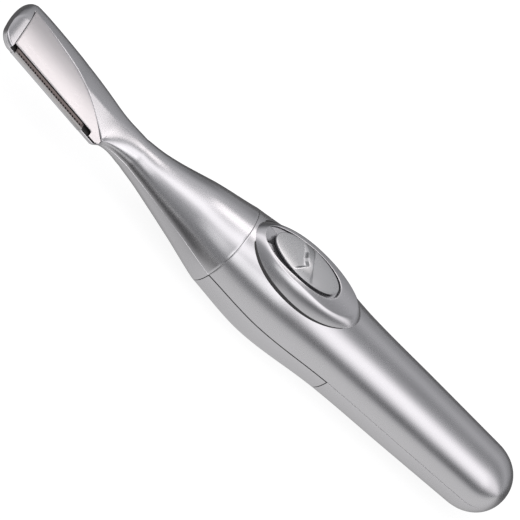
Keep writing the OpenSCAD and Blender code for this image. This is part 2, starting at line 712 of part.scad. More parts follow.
// Cell and its contacts
can_edge = 0.4;
module at_cell() { translate([0, 0, cell_z]) children(); }
module cell_can() {
    color("dimgray") lifted() at_cell() along_x(cell_x + cap_h) union() {
        cylinder(r = cell_r - can_edge, h = cell_len - cap_h);
        translate([0, 0, can_edge]) cylinder(r = cell_r, h = cell_len - cap_h - can_edge);
    }
}
module cell_cap() {
    color("silver") lifted() at_cell() along_x(cell_x) cylinder(r = cap_r, h = cap_h);
}
tab_w = 1.2;
tab_rise = 0.9;
plate_r_share = 0.8;
plate_r = plate_r_share * cell_r;
module front_contact() {
    y = lead_y - lead_hole;
    z = tab_rise - cell_z;
    color("gold") lifted() union() {
        intersection() {
            at_cell() along_x(cell_x - contact_t) cylinder(r = plate_r, h = contact_t);
            block(-big / 2, big / 2, -cap_r, cap_r, -big / 2, big / 2);
        }
        block(cell_x - contact_t, cell_x + cap_h - seat, y - tab_w / 2, y + tab_w / 2, z, z + contact_t);
    }
}
coil_wire = 0.3;
coil_r = 3.5;
coil_turns = 4.5;
coil_ring = 14;
// Tube along a path of points: rings square to the run, closed at both ends
function unit(v) = v / norm(v);
function tube_rings(path, r, sides) = let (n = len(path) - 1)
    [for (i = [0:n]) let (
        t = unit(path[min(i + 1, n)] - path[max(i - 1, 0)]),
        u = unit(cross(t, abs(t[2]) < 0.9 ? [0, 0, 1] : [0, 1, 0])),
        v = cross(t, u))
        each [for (j = [0:sides - 1]) let (a = 360 * j / sides) path[i] + r * (cos(a) * u + sin(a) * v)]];
module tube(path, r, sides) {
    n = len(path) - 1;
    skin = [for (i = [0:n - 1], j = [0:sides - 1]) let (
        a = i * sides + j, b = i * sides + (j + 1) % sides, c = b + sides, d = a + sides)
        each [[a, c, b], [a, d, c]]];
    caps = [for (j = [1:sides - 2]) each [[0, j, j + 1], [n * sides, n * sides + j + 1, n * sides + j]]];
    polyhedron(tube_rings(path, r, sides), concat(skin, caps), convexity = 8);
}
module battery_spring() {
    steps = floor(coil_turns * coil_ring);
    color("lightgray") lifted() at_cell() tube([for (i = [0:steps]) let (a = 360 * i / coil_ring)
        [coil_x + mix(coil_wire + pin_gap, coil_len - coil_wire - pin_gap, i / steps),
         coil_r * cos(a), coil_r * sin(a)]], coil_wire, 6);
}
rear_tab_w = 1.6;
rear_tab_set = 0.2;
module rear_contact() {
    y = lead_y + rear_tab_set;
    color("gold") lifted() union() {
        at_cell() along_x(rear_x - contact_t) cylinder(r = cradle_r - seat, h = contact_t);
        block(rear_x - contact_t, rear_x, y, y + rear_tab_w, 0, lead_z - lead_hole);
    }
}

// Motor: can with its magnets and front bush, rear cap with tabs, and the turning parts
can_wall = 0.4;
can_front = 0.6;
cap_t = 1.2;
bush_r = 1;
magnet_t = 0.8;
magnet_gap = 0.35;
core_len_share = 0.55;
core_set = 2.1;
core_x = motor_x + core_set;
module motor_can() {
    color("silver") lifted() along_x(motor_x) difference() {
        cylinder(r = motor_r, h = motor_len);
        translate([0, 0, can_front]) cylinder(r = motor_r - can_wall, h = motor_len);
        translate([0, 0, -over]) cylinder(r = bush_r + pin_gap, h = 2 * over);
    }
}
module motor_bush() {
    color("goldenrod") lifted() along_x(motor_x - can_front) difference() {
        cylinder(r = bush_r, h = 3 * can_front);
        translate([0, 0, -over]) cylinder(r = shaft_r + run_gap, h = 3 * can_front + 2 * over);
    }
}
module motor_magnets() {
    r = motor_r - can_wall - pin_gap;
    core = core_len_share * motor_len;
    color("dimgray") lifted() along_x(core_x) difference() {
        cylinder(r = r, h = core);
        translate([0, 0, -over]) cylinder(r = r - magnet_t, h = core + 2 * over);
        block(-motor_r, motor_r, -2 * magnet_t, 2 * magnet_t, -over, core + over);
    }
}
module motor_end_cap() {
    color("white") lifted() along_x(motor_x + motor_len - cap_t) difference() {
        cylinder(r = motor_r - can_wall - pin_gap, h = cap_t);
        translate([0, 0, -over]) cylinder(r = shaft_r + run_gap, h = over + cap_t / 2);
    }
}
motor_tab = 1.6;
tab_y = 2;
tab_z = 0.2;
module motor_terminals() {
    x = motor_x + motor_len;
    color("gold") lifted() for (side = [-1, 1])
        block(x, x + motor_tab, side * tab_y - tab_w / 2, side * tab_y + tab_w / 2, tab_z, tab_z + contact_t);
}
boot_set = 2;
boot_x = motor_x + boot_set;
boot_len = 7;
boot_steps = 4;
module motor_boot() {
    color("dimgray") lifted() turned(concat(
        [for (i = [0:boot_steps]) let (x = boot_x + boot_len * i / boot_steps) [neck_bore(x) - seat, x]],
        [[motor_r + pin_gap, boot_x + boot_len], [motor_r + pin_gap, boot_x]]));
}
shaft_set = 1.5;
weight_set = 0.4;
hub_share = 2.4;
shaft_x = cavity_end + shaft_set;
shaft_end = motor_x + motor_len - cap_t / 2 - seat;
module motor_shaft() {
    color("silver") lifted() along_x(shaft_x) cylinder(r = shaft_r, h = shaft_end - shaft_x);
}
module armature() {
    core = core_len_share * motor_len;
    r = motor_r - can_wall - magnet_t - magnet_gap;
    color("firebrick") lifted() along_x(core_x) difference() {
        cylinder(r = r, h = core);
        for (a = [0, 120, 240]) rotate([0, 0, a])
            block(r / 2, 2 * r, -magnet_gap, magnet_gap, -over, core + over);
        translate([0, 0, -over]) cylinder(r = shaft_r + pin_gap / 2, h = core + 2 * over);
    }
}
module eccentric_weight() {
    color("darkgray") lifted() along_x(shaft_x + weight_set) difference() {
        union() {
            intersection() {
                cylinder(r = weight_r, h = weight_len);
                block(0, weight_r, -weight_r, weight_r, 0, weight_len);
            }
            cylinder(r = hub_share * shaft_r, h = weight_len);
        }
        translate([0, 0, -over]) cylinder(r = shaft_r + pin_gap / 2, h = weight_len + 2 * over);
    }
}

// Leads: each route is a short list of places, from the ring seam or the rear contact, smoothed
lead_sides = 8;
lead_steps = 2;
function spline_point(p, i, t) = let (
    n = len(p) - 1, a = p[i], b = p[i + 1],
    ta = (p[i + 1] - p[max(i - 1, 0)]) / 2, tb = (p[min(i + 2, n)] - p[i]) / 2)
    hermite(a, b, ta, tb, t);
function smoothed(p) = concat(
    [for (i = [0:len(p) - 2], k = [0:lead_steps - 1]) spline_point(p, i, k / lead_steps)], [p[len(p) - 1]]);
feed_route = [[3.9, 2, 2.9], [3.9, 2, 4.5], [3.9, 2, 6.2], [3.9, 2, 7.2], [4.3, 2, 7.9], [5, 2, 7.8],
    [6.4, 2, 7.7]];
motor_route = [[6.4, -2, 7.7], [5, -2, 7.8], [4.3, -2, 7.9], [3.95, -2.1, 7.2], [4, -2.6, 5.8],
    [3.7, -2.9, 4.9], [2.6, -3, 4.6], [1.2, -3, 4.4], [0, -2.8, 3], [-0.8, -2.3, 1.4], [-2, -2, 1]];
return_front = [[-2, 2, 1], [-0.8, 2.3, 1.4], [0, 2.8, 3], [1.2, 3, 4.4], [2.6, 3, 4.6], [4, 3.4, 4.8],
    [7, 4.6, 4.6], [13, 5, 4.2], [21, 5, 4.2]];
return_back = [[-23, 5, 4.2], [-13, 5, 4.2], [-5, 4.8, 4.2], [-3, 4.5, 3.9], [-1.7, 4, 3]];
function from_place(x, route) = [for (p = route) p + [x, 0, 0]];
module lead(route, tint) { color(tint) lifted() tube(smoothed(route), lead_r, lead_sides); }
module feed_wire() { lead(from_place(ring_x, feed_route), "firebrick"); }
module motor_wire() { lead(from_place(ring_x, motor_route), "firebrick"); }
module return_wire() {
    lead(concat(from_place(ring_x, return_front), from_place(rear_x, return_back)), "black");
}

upper_body_shell();
tail_lower_shell();
battery_door();
neck_upper_shell();
neck_lower_shell();
switch_bezel();
switch_button();
switch_slider();
switch_wiper();
switch_board();
switch_contacts();
blade_cover();
blade_base();
razor_blade();
blade_guard();
battery_tray();
tray_screws();
cell_can();
cell_cap();
front_contact();
battery_spring();
rear_contact();
motor_can();
motor_magnets();
motor_end_cap();
motor_terminals();
motor_boot();
motor_bush();
motor_shaft();
armature();
eccentric_weight();
feed_wire();
motor_wire();
return_wire();
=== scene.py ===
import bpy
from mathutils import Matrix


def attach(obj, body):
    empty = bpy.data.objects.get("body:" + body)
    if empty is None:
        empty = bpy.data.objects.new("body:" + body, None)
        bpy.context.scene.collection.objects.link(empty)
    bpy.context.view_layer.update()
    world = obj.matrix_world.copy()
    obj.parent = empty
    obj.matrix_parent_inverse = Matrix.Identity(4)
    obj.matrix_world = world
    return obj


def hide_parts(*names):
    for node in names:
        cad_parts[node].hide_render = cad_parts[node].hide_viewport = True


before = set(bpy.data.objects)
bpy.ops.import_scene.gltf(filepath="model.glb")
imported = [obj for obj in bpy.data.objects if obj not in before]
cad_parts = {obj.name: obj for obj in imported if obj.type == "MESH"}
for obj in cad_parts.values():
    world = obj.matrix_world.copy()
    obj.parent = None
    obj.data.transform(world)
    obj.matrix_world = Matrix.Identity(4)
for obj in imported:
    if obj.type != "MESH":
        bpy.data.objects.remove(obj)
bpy.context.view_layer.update()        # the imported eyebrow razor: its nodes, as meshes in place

import math

import bmesh
import bpy
import numpy as np
from mathutils import Matrix, Vector

# The handle lies along X with its tail at +X, the switch faces +Z and the blade's edge faces -Y.
# Sizes are in millimetres, as on a drawing, and become metres when a piece is made.
MM = 0.001

# Body: radius at places along the handle's axis
BELLY_R, SEAM_R, WAIST_R, TAIL_R, END_R = 11.8, 10.3, 10.0, 9.2, 8.4
BODY_LEN, DOOR_LEN, END_ROUND, DOME_POWER = 84.5, 35.6, 9.0, 0.92
WALL, LIFT = 1.4, 11.3
NECK_LEN, HEAD_LEN, PITCH, NECK_RISE = 25.5, 44.6, math.radians(8.7), 0.6
NECK_R, NECK_WALL, EDGE_T = 4.17, 1.3, 0.8
FRONT_REACH = NECK_LEN + HEAD_LEN * math.cos(PITCH) + EDGE_T * math.sin(PITCH)
RING_X = (BODY_LEN + FRONT_REACH) / 2 - BODY_LEN
TAIL_X = RING_X + BODY_LEN
DOOR_X = RING_X + DOOR_LEN
PIVOT_X = RING_X - NECK_LEN
BELLY_X = RING_X + 0.185 * BODY_LEN
DOME_X = TAIL_X - END_ROUND
BODY_PLACES = [RING_X, BELLY_X, DOOR_X, RING_X + 0.66 * BODY_LEN, DOME_X]
BODY_RADII = [SEAM_R, BELLY_R, WAIST_R, TAIL_R, END_R]

# Shells: the rounding of their edges, and the gaps at the parting line, round the door and at the ring seam
EDGE, GAP, DOOR_GAP, DOOR_END_GAP, TAIL_GAP, SEAM_AT_RING = 0.1, 0.02, 0.16, 0.12, 0.05, 0.02

# Head: plan outline, facet and bend
BLADE_SIDE, SPINE_SIDE, FACET = 7.6, 7.4, math.radians(8.6)
HEEL_S, FRONT_S, BEND = 12.0, 41.4, 10.0
BEND_R = BEND / math.tan(PITCH / 2)
NECK_END = 0.13 * NECK_LEN
TIP_ROUND, TIP_MID, TIP_CORNER = 4.8, -1.0, 3.2
TIP_S, CORNER_S, HEEL_END = HEAD_LEN - TIP_ROUND, HEAD_LEN - TIP_CORNER, HEEL_S + 1.2
FLAT_FROM, FLAT_S = 2, 18
SIDE_ROUND, SPINE_ROUND, BACK_CROWN = 0.5, 1.6, 1.1

# The hollow in the neck ends in front of the motor
MOTOR_SET, MOTOR_LEN, WEIGHT_LEN, SHAFT_FREE = 2.5, 12, 4.5, 5
CAVITY_END = RING_X - MOTOR_SET - MOTOR_LEN - WEIGHT_LEN - SHAFT_FREE

# Cassette: the blade begins behind the heel, the guard and its pocket reach past both its ends, and the
# cover has a full-width ear between heel and guard
BLADE_S = HEEL_S + 5.8
GUARD_S = BLADE_S - 0.4
GUARD_END, EAR_S, POCKET_Y = GUARD_S + 22.8, GUARD_S - 2.3, -7.5
COVER_Y, COVER_LOW, COVER_SINK = -6.35, 0.61, 0.2
CROWN, CROWN_Y, CROWN_REACH = 0.27, -2.2, 5.4
CUT_GAP = 0.1


# Plain maths on arrays

def mix(a, b, t):
    """Straight mix from a at t = 0 to b at t = 1."""
    return a + (b - a) * t


def smooth(t):
    """Cubic ease from 0 to 1."""
    c = np.clip(t, 0, 1)
    return c * c * (3 - 2 * c)


def curve(places, values, x):
    """Cubic Hermite curve through (place, value), each slope taken from its two neighbours."""
    p, v, x = np.array(places, float), np.array(values, float), np.asarray(x, float)
    n = len(p)
    i = np.clip(np.searchsorted(p, x, side="right") - 1, 0, n - 2)
    slope = lambda k: (v[np.minimum(k + 1, n - 1)] - v[np.maximum(k - 1, 0)]) / (
        p[np.minimum(k + 1, n - 1)] - p[np.maximum(k - 1, 0)])
    h = p[i + 1] - p[i]
    t = np.clip((x - p[i]) / h, 0, 1)
    return (v[i] * (2 * t**3 - 3 * t**2 + 1) + slope(i) * h * (t**3 - 2 * t**2 + t)
            + v[i + 1] * (3 * t**2 - 2 * t**3) + slope(i + 1) * h * (t**3 - t**2))


def eased(a, b, count, ease=0.5):
    """Places from a to b, closer together at both ends."""
    t = np.linspace(0, 1, count)
    return a + (b - a) * mix(t, (1 - np.cos(math.pi * t)) / 2, ease)


def round_in(d, r):
    """Quarter circle: 0 at the edge, 1 from the distance r inwards."""
    return np.sqrt(np.clip(1 - (1 - np.clip(d / r, 0, 1)) ** 2, 0, 1))


# The razor's own shape

def body_r(x):
    """Radius of the handle at x, with the last part of it falling to the rounded end."""
    return curve(BODY_PLACES, BODY_RADII, np.minimum(x, DOME_X))


def neck_radius(s):
    """Radius of the neck at s, where s runs along its centre line from the bend towards the tip."""
    places = [-NECK_LEN, -0.6 * NECK_LEN, -0.3 * NECK_LEN, -0.08 * NECK_LEN, NECK_END]
    shares = np.array([1, 0.625, 0.315, 0.119, 0])
    return curve(places, mix(NECK_R, SEAM_R, shares), np.minimum(s, NECK_END))


def bore(x):
    """Inner radius of neck and body at x."""
    return np.where(x < RING_X, neck_radius(PIVOT_X - x) - NECK_WALL, body_r(x) - WALL)


def neck_rise(s):
    """How far the neck's centre line has risen over the handle's axis at s."""
    return NECK_RISE * smooth((s + NECK_LEN) / (0.45 * NECK_LEN))


def head_place(s, y, n):
    """Point at s along the centre line, y across and n above it: straight, then bent, then straight."""
    s, y, n = np.broadcast_arrays(np.asarray(s, float), np.asarray(y, float), np.asarray(n, float))
    rise = neck_rise(s)
    a = np.clip(PITCH * (s + BEND) / (2 * BEND), 0, PITCH)
    x0, z0 = PIVOT_X - s, n + rise
    x1, z1 = PIVOT_X + BEND - (BEND_R - n) * np.sin(a), NECK_RISE + BEND_R - (BEND_R - n) * np.cos(a)
    x2 = PIVOT_X - s * math.cos(PITCH) + n * math.sin(PITCH)
    z2 = NECK_RISE + s * math.sin(PITCH) + n * math.cos(PITCH)
    x = np.where(s <= -BEND, x0, np.where(s >= BEND, x2, x1))
    z = np.where(s <= -BEND, z0, np.where(s >= BEND, z2, z1))
    return np.stack([x, y, z + LIFT], -1)


def blade_y(s):
    """Cutting side of the head in plan: neck, flare to the heel, straight side, rounded tip corner."""
    heel = curve(mix(NECK_END, HEEL_END, np.array([0, 0.42, 0.76, 0.93, 1])),
                 mix(NECK_R, BLADE_SIDE, np.array([0, 0.1, 0.43, 0.88, 1])), s)
    corner = TIP_CORNER - BLADE_SIDE - np.sqrt(np.clip(TIP_CORNER**2 - (s - CORNER_S) ** 2, 0, None))
    head = np.where(s < CORNER_S, -np.minimum(BLADE_SIDE, heel), corner)
    return np.where(s < NECK_END, -neck_radius(s), head)


def spine_y(s):
    """Spine side of the head in plan: neck, long swell, then a quarter ellipse round the tip."""
    side = curve(mix(NECK_END, TIP_S, np.array([0, 0.14, 0.31, 0.48, 0.7, 0.92, 1])),
                 mix(NECK_R, SPINE_SIDE, np.array([0, 0.22, 0.65, 0.87, 0.98, 1, 0.95])), s)
    tip = mix(TIP_MID, mix(NECK_R, SPINE_SIDE, 0.95),
              np.sqrt(np.clip(1 - (np.clip(s - TIP_S, 0, None) / TIP_ROUND) ** 2, 0, 1)))
    return np.where(s < NECK_END, neck_radius(s), np.where(s < TIP_S, side, tip))


def facet_y(s):
    """Curved seam between the blade cover and the head, from the heel to the tip."""
    return curve(mix(HEEL_S, FRONT_S, np.array([0, 0.193, 0.369, 0.558, 0.8, 1])),
                 mix(-BLADE_SIDE, SPINE_SIDE, np.array([0.09, 0.376, 0.549, 0.649, 0.716, 0.755])), s)


def facet_n(y):
    """Height of the flat facet over the parting surface."""
    return EDGE_T + math.tan(FACET) * (y + BLADE_SIDE)


RIDGE_LEAST = mix(-BLADE_SIDE, SPINE_SIDE, 0.549)


def tip_part(s):
    """Share of the way from the cassette's front to the end of the tip."""
    return np.clip((s - FRONT_S) / (HEAD_LEN - FRONT_S), 0, 1)


def wedge_n(s, y):
    """Height of the head's top: the facet up to a ridge, then a round fall to the spine; less at the tip."""
    yb, ys = blade_y(s), spine_y(s)
    yr = np.minimum(np.maximum(RIDGE_LEAST, facet_y(s)), mix(yb, ys, 0.62))
    d = np.clip((y - yr) / (ys - yr), 0, 1)
    full = facet_n(np.minimum(y, yr)) * (1 - 0.3 * d) * np.sqrt(np.clip(1 - d**3, 0, 1))
    return round_in(y - yb, SIDE_ROUND) * full * (1 - 0.3 * tip_part(s) ** 3)


def back_n(s, y, q):
    """Depth of the head's back: a shallow crown with a rounded spine."""
    crown = BACK_CROWN * (1 - smooth(tip_part(s))) * np.sin(math.pi * q)
    return round_in(y - blade_y(s), SIDE_ROUND) * round_in(spine_y(s) - y, SPINE_ROUND) * (EDGE_T + crown)


def flattened(s):
    """Share of the way from the round neck to the flat head at s."""
    return smooth((s - FLAT_FROM) / (FLAT_S - FLAT_FROM))


def swell(s):
    """Half height of the round neck as it flattens into the head."""
    places = mix(NECK_END, FLAT_S, np.array([0, 0.33, 0.7, 1]))
    flat = curve(places, NECK_R * np.array([1, 0.93, 0.77, 0.62]), s)
    return np.where(s < NECK_END, neck_radius(s), flat)


def across(s, y):
    """Where y lies between the two sides at s, as the angle share that a half circle would have."""
    c = np.clip(2 * (y - blade_y(s)) / (spine_y(s) - blade_y(s)) - 1, -1, 1)
    return 1 - np.arccos(c) / math.pi


def top_n(s, y):
    """Height of neck and head over the parting surface."""
    q = across(s, y)
    return mix(swell(s) * np.sin(math.pi * q), wedge_n(s, y), flattened(s))


def low_n(s, y):
    """Depth of neck and head under the parting surface."""
    q = across(s, y)
    return mix(swell(s) * np.sin(math.pi * q), back_n(s, y, q), flattened(s))


# Making meshes

def grid_faces(rows, cols, wrap=False, keep=None):
    """Quads of a grid of rows by columns, closed round the columns if wrap; keep, if given, picks some."""
    r, c = np.meshgrid(np.arange(rows - 1), np.arange(cols if wrap else cols - 1), indexing="ij")
    if keep is not None:
        r, c = r[keep], c[keep]
    a, b = r * cols + c, r * cols + (c + 1) % cols
    return np.stack([a, b, b + cols, a + cols], -1).reshape(-1, 4)


def tube_faces(rows, cols):
    """Faces of a closed tube: the grid round it, and one polygon at each end."""
    return (grid_faces(rows, cols, wrap=True).tolist()
            + [list(range(cols)), [(rows - 1) * cols + k for k in range(cols)]])


def face_arrays(mesh):
    """Normals of a mesh's faces, and their centres in millimetres, a row for each face."""
    count = len(mesh.polygons)
    normal, centre = np.empty(3 * count), np.empty(3 * count)
    mesh.polygons.foreach_get("normal", normal)
    mesh.polygons.foreach_get("center", centre)
    return normal.reshape(-1, 3), centre.reshape(-1, 3) / MM


def unplated_or_shaded_faces(mesh, side, chamfered):
    """True for the faces of a half shell that get dark plastic: bore, parting land and seam ends, which are
    unplated, and whose near black also paints the shade in the seams and in the notch at the blade slot's
    heel end.

    They look neither away from the handle's axis nor up (side 1) or down (side -1), and they are neither the
    outside of the rounded tail nor the round end of the head. With chamfered, the faces of the shell's edge
    that look across the parting plane are dark too: painted shade in the parting line.
    """
    normal, centre = face_arrays(mesh)
    x, along, up = centre[:, 0], normal[:, 0], side * normal[:, 2]
    axis = LIFT + np.where(x < RING_X, NECK_RISE, 0) + math.tan(PITCH) * np.maximum(PIVOT_X - x, 0)
    away = centre - np.column_stack([x, 0 * axis, axis])
    out = (normal * away).sum(1) / np.linalg.norm(away, axis=1)
    not_tip = (np.abs(along) < 0.5) | (x > RING_X - 1)
    not_tail = (x < DOME_X) | (along < 0.1)
    return (up < 0.1) & (out < 0.3) & not_tip & not_tail | chamfered & (up < -0.3)


MERGE, SHARP = 1e-6, 38  # metres between doubles, and degrees from which an edge is sharp


def as_list(faces):
    """Faces as a list of lists, from an array or such a list."""
    return faces.tolist() if hasattr(faces, "tolist") else faces


def make(name, points, faces, body, slot, material, nodes=(), bare_or_shade=None):
    """One closed piece in its place: points in millimetres, doubles merged, faces turned outwards.

    With a test on the mesh given as its last argument, the faces it picks are near-black plastic: unplated
    plastic inside, and painted shade in seams and slots.
    """
    mesh = bpy.data.meshes.new(name)
    points = np.asarray(points, float).reshape(-1, 3) * MM
    mesh.from_pydata(points.tolist(), [], [list(dict.fromkeys(f)) for f in as_list(faces)])
    mesh.validate()
    work = bmesh.new()
    work.from_mesh(mesh)
    bmesh.ops.remove_doubles(work, verts=work.verts, dist=MERGE)
    bmesh.ops.dissolve_degenerate(work, edges=work.edges, dist=MERGE)
    bmesh.ops.recalc_face_normals(work, faces=work.faces)
    work.to_mesh(mesh)
    work.free()
    mesh.shade_smooth()
    mesh.set_sharp_from_angle(angle=math.radians(SHARP))
    piece = bpy.data.objects.new(name, mesh)
    bpy.context.scene.collection.objects.link(piece)
    mesh.materials.append(material)
    if bare_or_shade:
        mesh.materials.append(looks["bare_or_shade"])
        mesh.polygons.foreach_set("material_index", bare_or_shade(mesh).astype(np.int32))
    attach(piece, body)
    if nodes:
        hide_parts(*nodes)


# Shells, plates and ovals

def rounded_ends(x, back=True):
    """Places along a piece, and the inset that rounds its first end and its back one by a quarter circle."""
    phi = np.radians([90, 60, 30])
    inset = np.r_[EDGE * (1 - np.cos(phi)), np.zeros(len(x))]
    x = np.r_[x[0] + EDGE * (1 - np.sin(phi)), x[0] + EDGE, x[1:]]
    if back:
        x = np.r_[x[:-1], x[-1] - EDGE, x[-1] - EDGE * (1 - np.sin(phi[::-1]))]
        inset = np.r_[inset, EDGE * (1 - np.cos(phi[::-1]))]
    return x, inset


def shell_rows(places, back=True):
    """Rows of a body shell: place and radius outside, place and radius inside, and inset."""
    x, inset = rounded_ends(places, back)
    r = body_r(x)
    return x, r, x, r - WALL, inset


DOME_ROWS, DOME_STEP = 22, 0.5


def with_dome(rows):
    """The same rows, followed by the rounded end: a power of the sine along X, of the cosine across."""
    x, r, xi, ri, inset = rows
    a = np.radians(np.linspace(0, 90, DOME_ROWS + 1)[1:])
    slope = (body_r(DOME_X) - body_r(DOME_X - DOME_STEP)) / DOME_STEP
    along, fall = np.sin(a) ** DOME_POWER, np.clip(np.cos(a), 0, 1) ** DOME_POWER
    line = END_R + slope * END_ROUND * along
    return (np.r_[x, DOME_X + END_ROUND * along], np.r_[r, line * fall],
            np.r_[xi, DOME_X + (END_ROUND - WALL) * along], np.r_[ri, (line - WALL) * fall],
            np.r_[inset, 0 * a])


ROUNDING = 7  # columns from a shell's outer skin round its edge to the inner skin


def half_shell(rows, start, gap, cols, hole=None):
    """Closed half of the handle from the angle start on (0 at +Y, pi / 2 at +Z), less a gap at each side.

    Each row is a rounded rectangle in angle and depth, whose corners have the radius EDGE; the rounding
    shrinks by the row's inset. A hole, given as a test on x and y, leaves out its quads in both skins. No
    point lies under the plane on which the razor rests, so the underside has a flat there.
    """
    x, ro, xi, ri, inset = (v[:, None] for v in rows)
    safe = np.maximum(ro, 2.5 * EDGE)
    g, k = EDGE / safe, (EDGE - inset) / safe
    low, high = start + gap / body_r(x), start + math.pi - gap / body_r(x)
    share = np.linspace(0, 1, cols)[None, :]
    s, c = np.sin(np.radians([30, 60, 90])), np.cos(np.radians([30, 60, 90]))
    arc = mix(low + g, high - g, share)
    flat = 0 * arc
    angle = np.hstack([arc, high - g + k * s, high - g + k * np.r_[1, c], arc[:, ::-1],
                       low + g - k * s, low + g - k * np.r_[1, c[:2]]])
    less = EDGE - inset
    depth = np.hstack([flat + inset, EDGE - less * c, WALL - EDGE + less * np.r_[0, s],
                       flat + WALL - inset, WALL - EDGE + less * c, EDGE - less * np.r_[0, s[:2]]])
    w = depth / WALL
    r, px = mix(ro, ri, w), mix(x, xi, w)
    points = np.stack([px + 0 * r, r * np.cos(angle), LIFT + r * np.sin(angle)], -1)
    points[..., 2] = np.maximum(points[..., 2], 0)
    n_rows, n = angle.shape
    keep = np.ones((n_rows - 1, n), bool)
    # the inner skin's column behind each outer one, and a wall between the two skins round the hole
    inner = 2 * cols + ROUNDING - 1 - np.arange(cols)
    walls = []
    if hole is not None:
        mid = (points[:-1, :cols - 1] + points[1:, 1:cols]) / 2
        gone = hole(mid[..., 0], mid[..., 1])
        keep[:, :cols - 1] &= ~gone
        keep[:, cols + ROUNDING:2 * cols + ROUNDING - 1] &= ~gone[:, ::-1]
        i, j = np.nonzero(gone[:, 1:] != gone[:, :-1])
        j = j + 1
        walls.append(np.stack([i * n + j, (i + 1) * n + j, (i + 1) * n + inner[j], i * n + inner[j]], -1))
        i, j = np.nonzero(gone[1:, :] != gone[:-1, :])
        i = i + 1
        walls.append(np.stack([i * n + j, i * n + j + 1, i * n + inner[j + 1], i * n + inner[j]], -1))
    faces = [grid_faces(n_rows, n, wrap=True, keep=keep)] + walls
    j = np.arange(cols - 1)
    for row in (0, n_rows - 1):
        faces.append(row * n + np.stack([j, j + 1, inner[j + 1], inner[j]], -1))
    return points.reshape(-1, 3), np.vstack(faces)


POST_SIDES = 24


def rings(x, y, radii, heights):
    """Circles about (x, y), each with its radius and its height, which may be a function of the place."""
    a = np.radians(np.arange(POST_SIDES) * 360 / POST_SIDES)
    rows = []
    for r, h in zip(radii, heights):
        px, py = x + r * np.cos(a), y + r * np.sin(a)
        rows.append(np.column_stack([px, py, h(px, py) if callable(h) else h + 0 * a]))
    return np.vstack(rows)


def post(x, y, radius, low, top):
    """Round post from the height low up to top."""
    return rings(x, y, [radius, radius], [low, top]), tube_faces(2, POST_SIDES)


def tube(x, y, radius, hole, low, top):
    """Upright tube round a hole, from the height low up to top: down the hole, and up the outside."""
    j = np.arange(POST_SIDES)
    after = (j + 1) % POST_SIDES
    closing = np.stack([j, after, 3 * POST_SIDES + after, 3 * POST_SIDES + j], -1)
    points = rings(x, y, [hole, hole, radius, radius], [top, low, low, top])
    return points, np.vstack([grid_faces(4, POST_SIDES, wrap=True), closing])


def joined(*parts):
    """Several closed forms as one piece."""
    points, faces, start = [], [], 0
    for p, f in parts:
        points.append(np.asarray(p).reshape(-1, 3))
        faces += [[start + k for k in face] for face in as_list(f)]
        start += len(points[-1])
    return np.vstack(points), faces


NECK_EDGE, LIP, LIP_STEPS = 0.06, 0.26, 5
CUT_COLS, SKIN_COLS = 20, 42
CREASE_SHARES = (0.146, 0.8)
LAND = 0.1  # share of the parting surface's columns on each side of the bore


def neck_skin(side, s, cut, wall_y):
    """Outer skin of a half neck: where each row begins, and the places and heights of its columns.

    Columns run up from the parting surface on the cutting side to the crease, spaced by a quarter cosine,
    and on to the spine, spaced by a quarter sine. In rows that are cut, the first block of columns is an
    upright wall at wall_y with a rounded lip.
    """
    height = top_n if side > 0 else low_n
    lo, hi = blade_y(s), spine_y(s)
    crease = mix(lo, hi, np.clip((facet_y(s) - lo) / (hi - lo), *CREASE_SHARES))
    t = np.linspace(0, 1, CUT_COLS, endpoint=False)[None, :]
    ya = mix(lo, crease, 1 - np.cos(math.pi / 2 * t))
    psi = np.radians(np.linspace(0, 90, LIP_STEPS, endpoint=False))[None, :]
    crest = height(s, wall_y + LIP)
    up = np.linspace(0, 1, CUT_COLS - LIP_STEPS)[None, :] * (crest - LIP)
    ya_cut = np.hstack([wall_y + 0 * up, wall_y + LIP * (1 - np.cos(psi))])
    na_cut = np.hstack([up, crest - LIP * (1 - np.sin(psi))])
    t = np.linspace(0, 1, SKIN_COLS)[None, :]
    yb = mix(np.where(cut, wall_y + LIP, crease), hi, np.sin(math.pi / 2 * t))
    first = np.where(cut, wall_y, lo)
    y = np.hstack([first + np.where(cut, 0, NECK_EDGE), np.where(cut, ya_cut, ya), yb, hi - NECK_EDGE])
    n = np.hstack([np.where(cut, na_cut, height(s, ya)), height(s, yb)])
    return first, y, np.hstack([0 * first, np.maximum(n, NECK_EDGE), 0 * hi])


def neck_land(side, s, first, y, pocket):
    """Parting surface of a half neck from the spine back: a land beside the bore on each side, and the bore.

    The bore is a half circle about the handle's axis, so the neck's rise is taken off above and added below.
    The solid head has no bore, but may have a pocket, given as its ends along s, its side and its depth.
    """
    t = np.linspace(1, 0, y.shape[1])[None, :]
    x, hi = PIVOT_X - s, spine_y(s)
    hollow = x > CAVITY_END
    w = np.where(hollow, bore(x), 0.35 * (hi - first))
    mid = np.where(hollow, 0, (first + hi) / 2)
    a = math.pi * (1 - np.clip((t - LAND) / (1 - 2 * LAND), 0, 1))
    arc_n = w * np.sin(a)
    y_land = np.where(t > 1 - LAND, mix(mid + w, y[:, -1:], (t - 1 + LAND) / LAND), mid + w * np.cos(a))
    y_land = np.where(t < LAND, mix(y[:, :1], mid - w, t / LAND), y_land)
    rise = neck_rise(s)
    bore_n = np.clip(arc_n - rise, 0, None) if side > 0 else arc_n + rise * smooth(np.sin(a) / 0.15)
    n_land = np.where(hollow & (t >= LAND) & (t <= 1 - LAND), bore_n, 0)
    if pocket:
        low, high, side_y, depth = pocket
        n_land = np.where((s > low) & (s < high) & (y_land < side_y), depth, n_land)
    return y_land, n_land


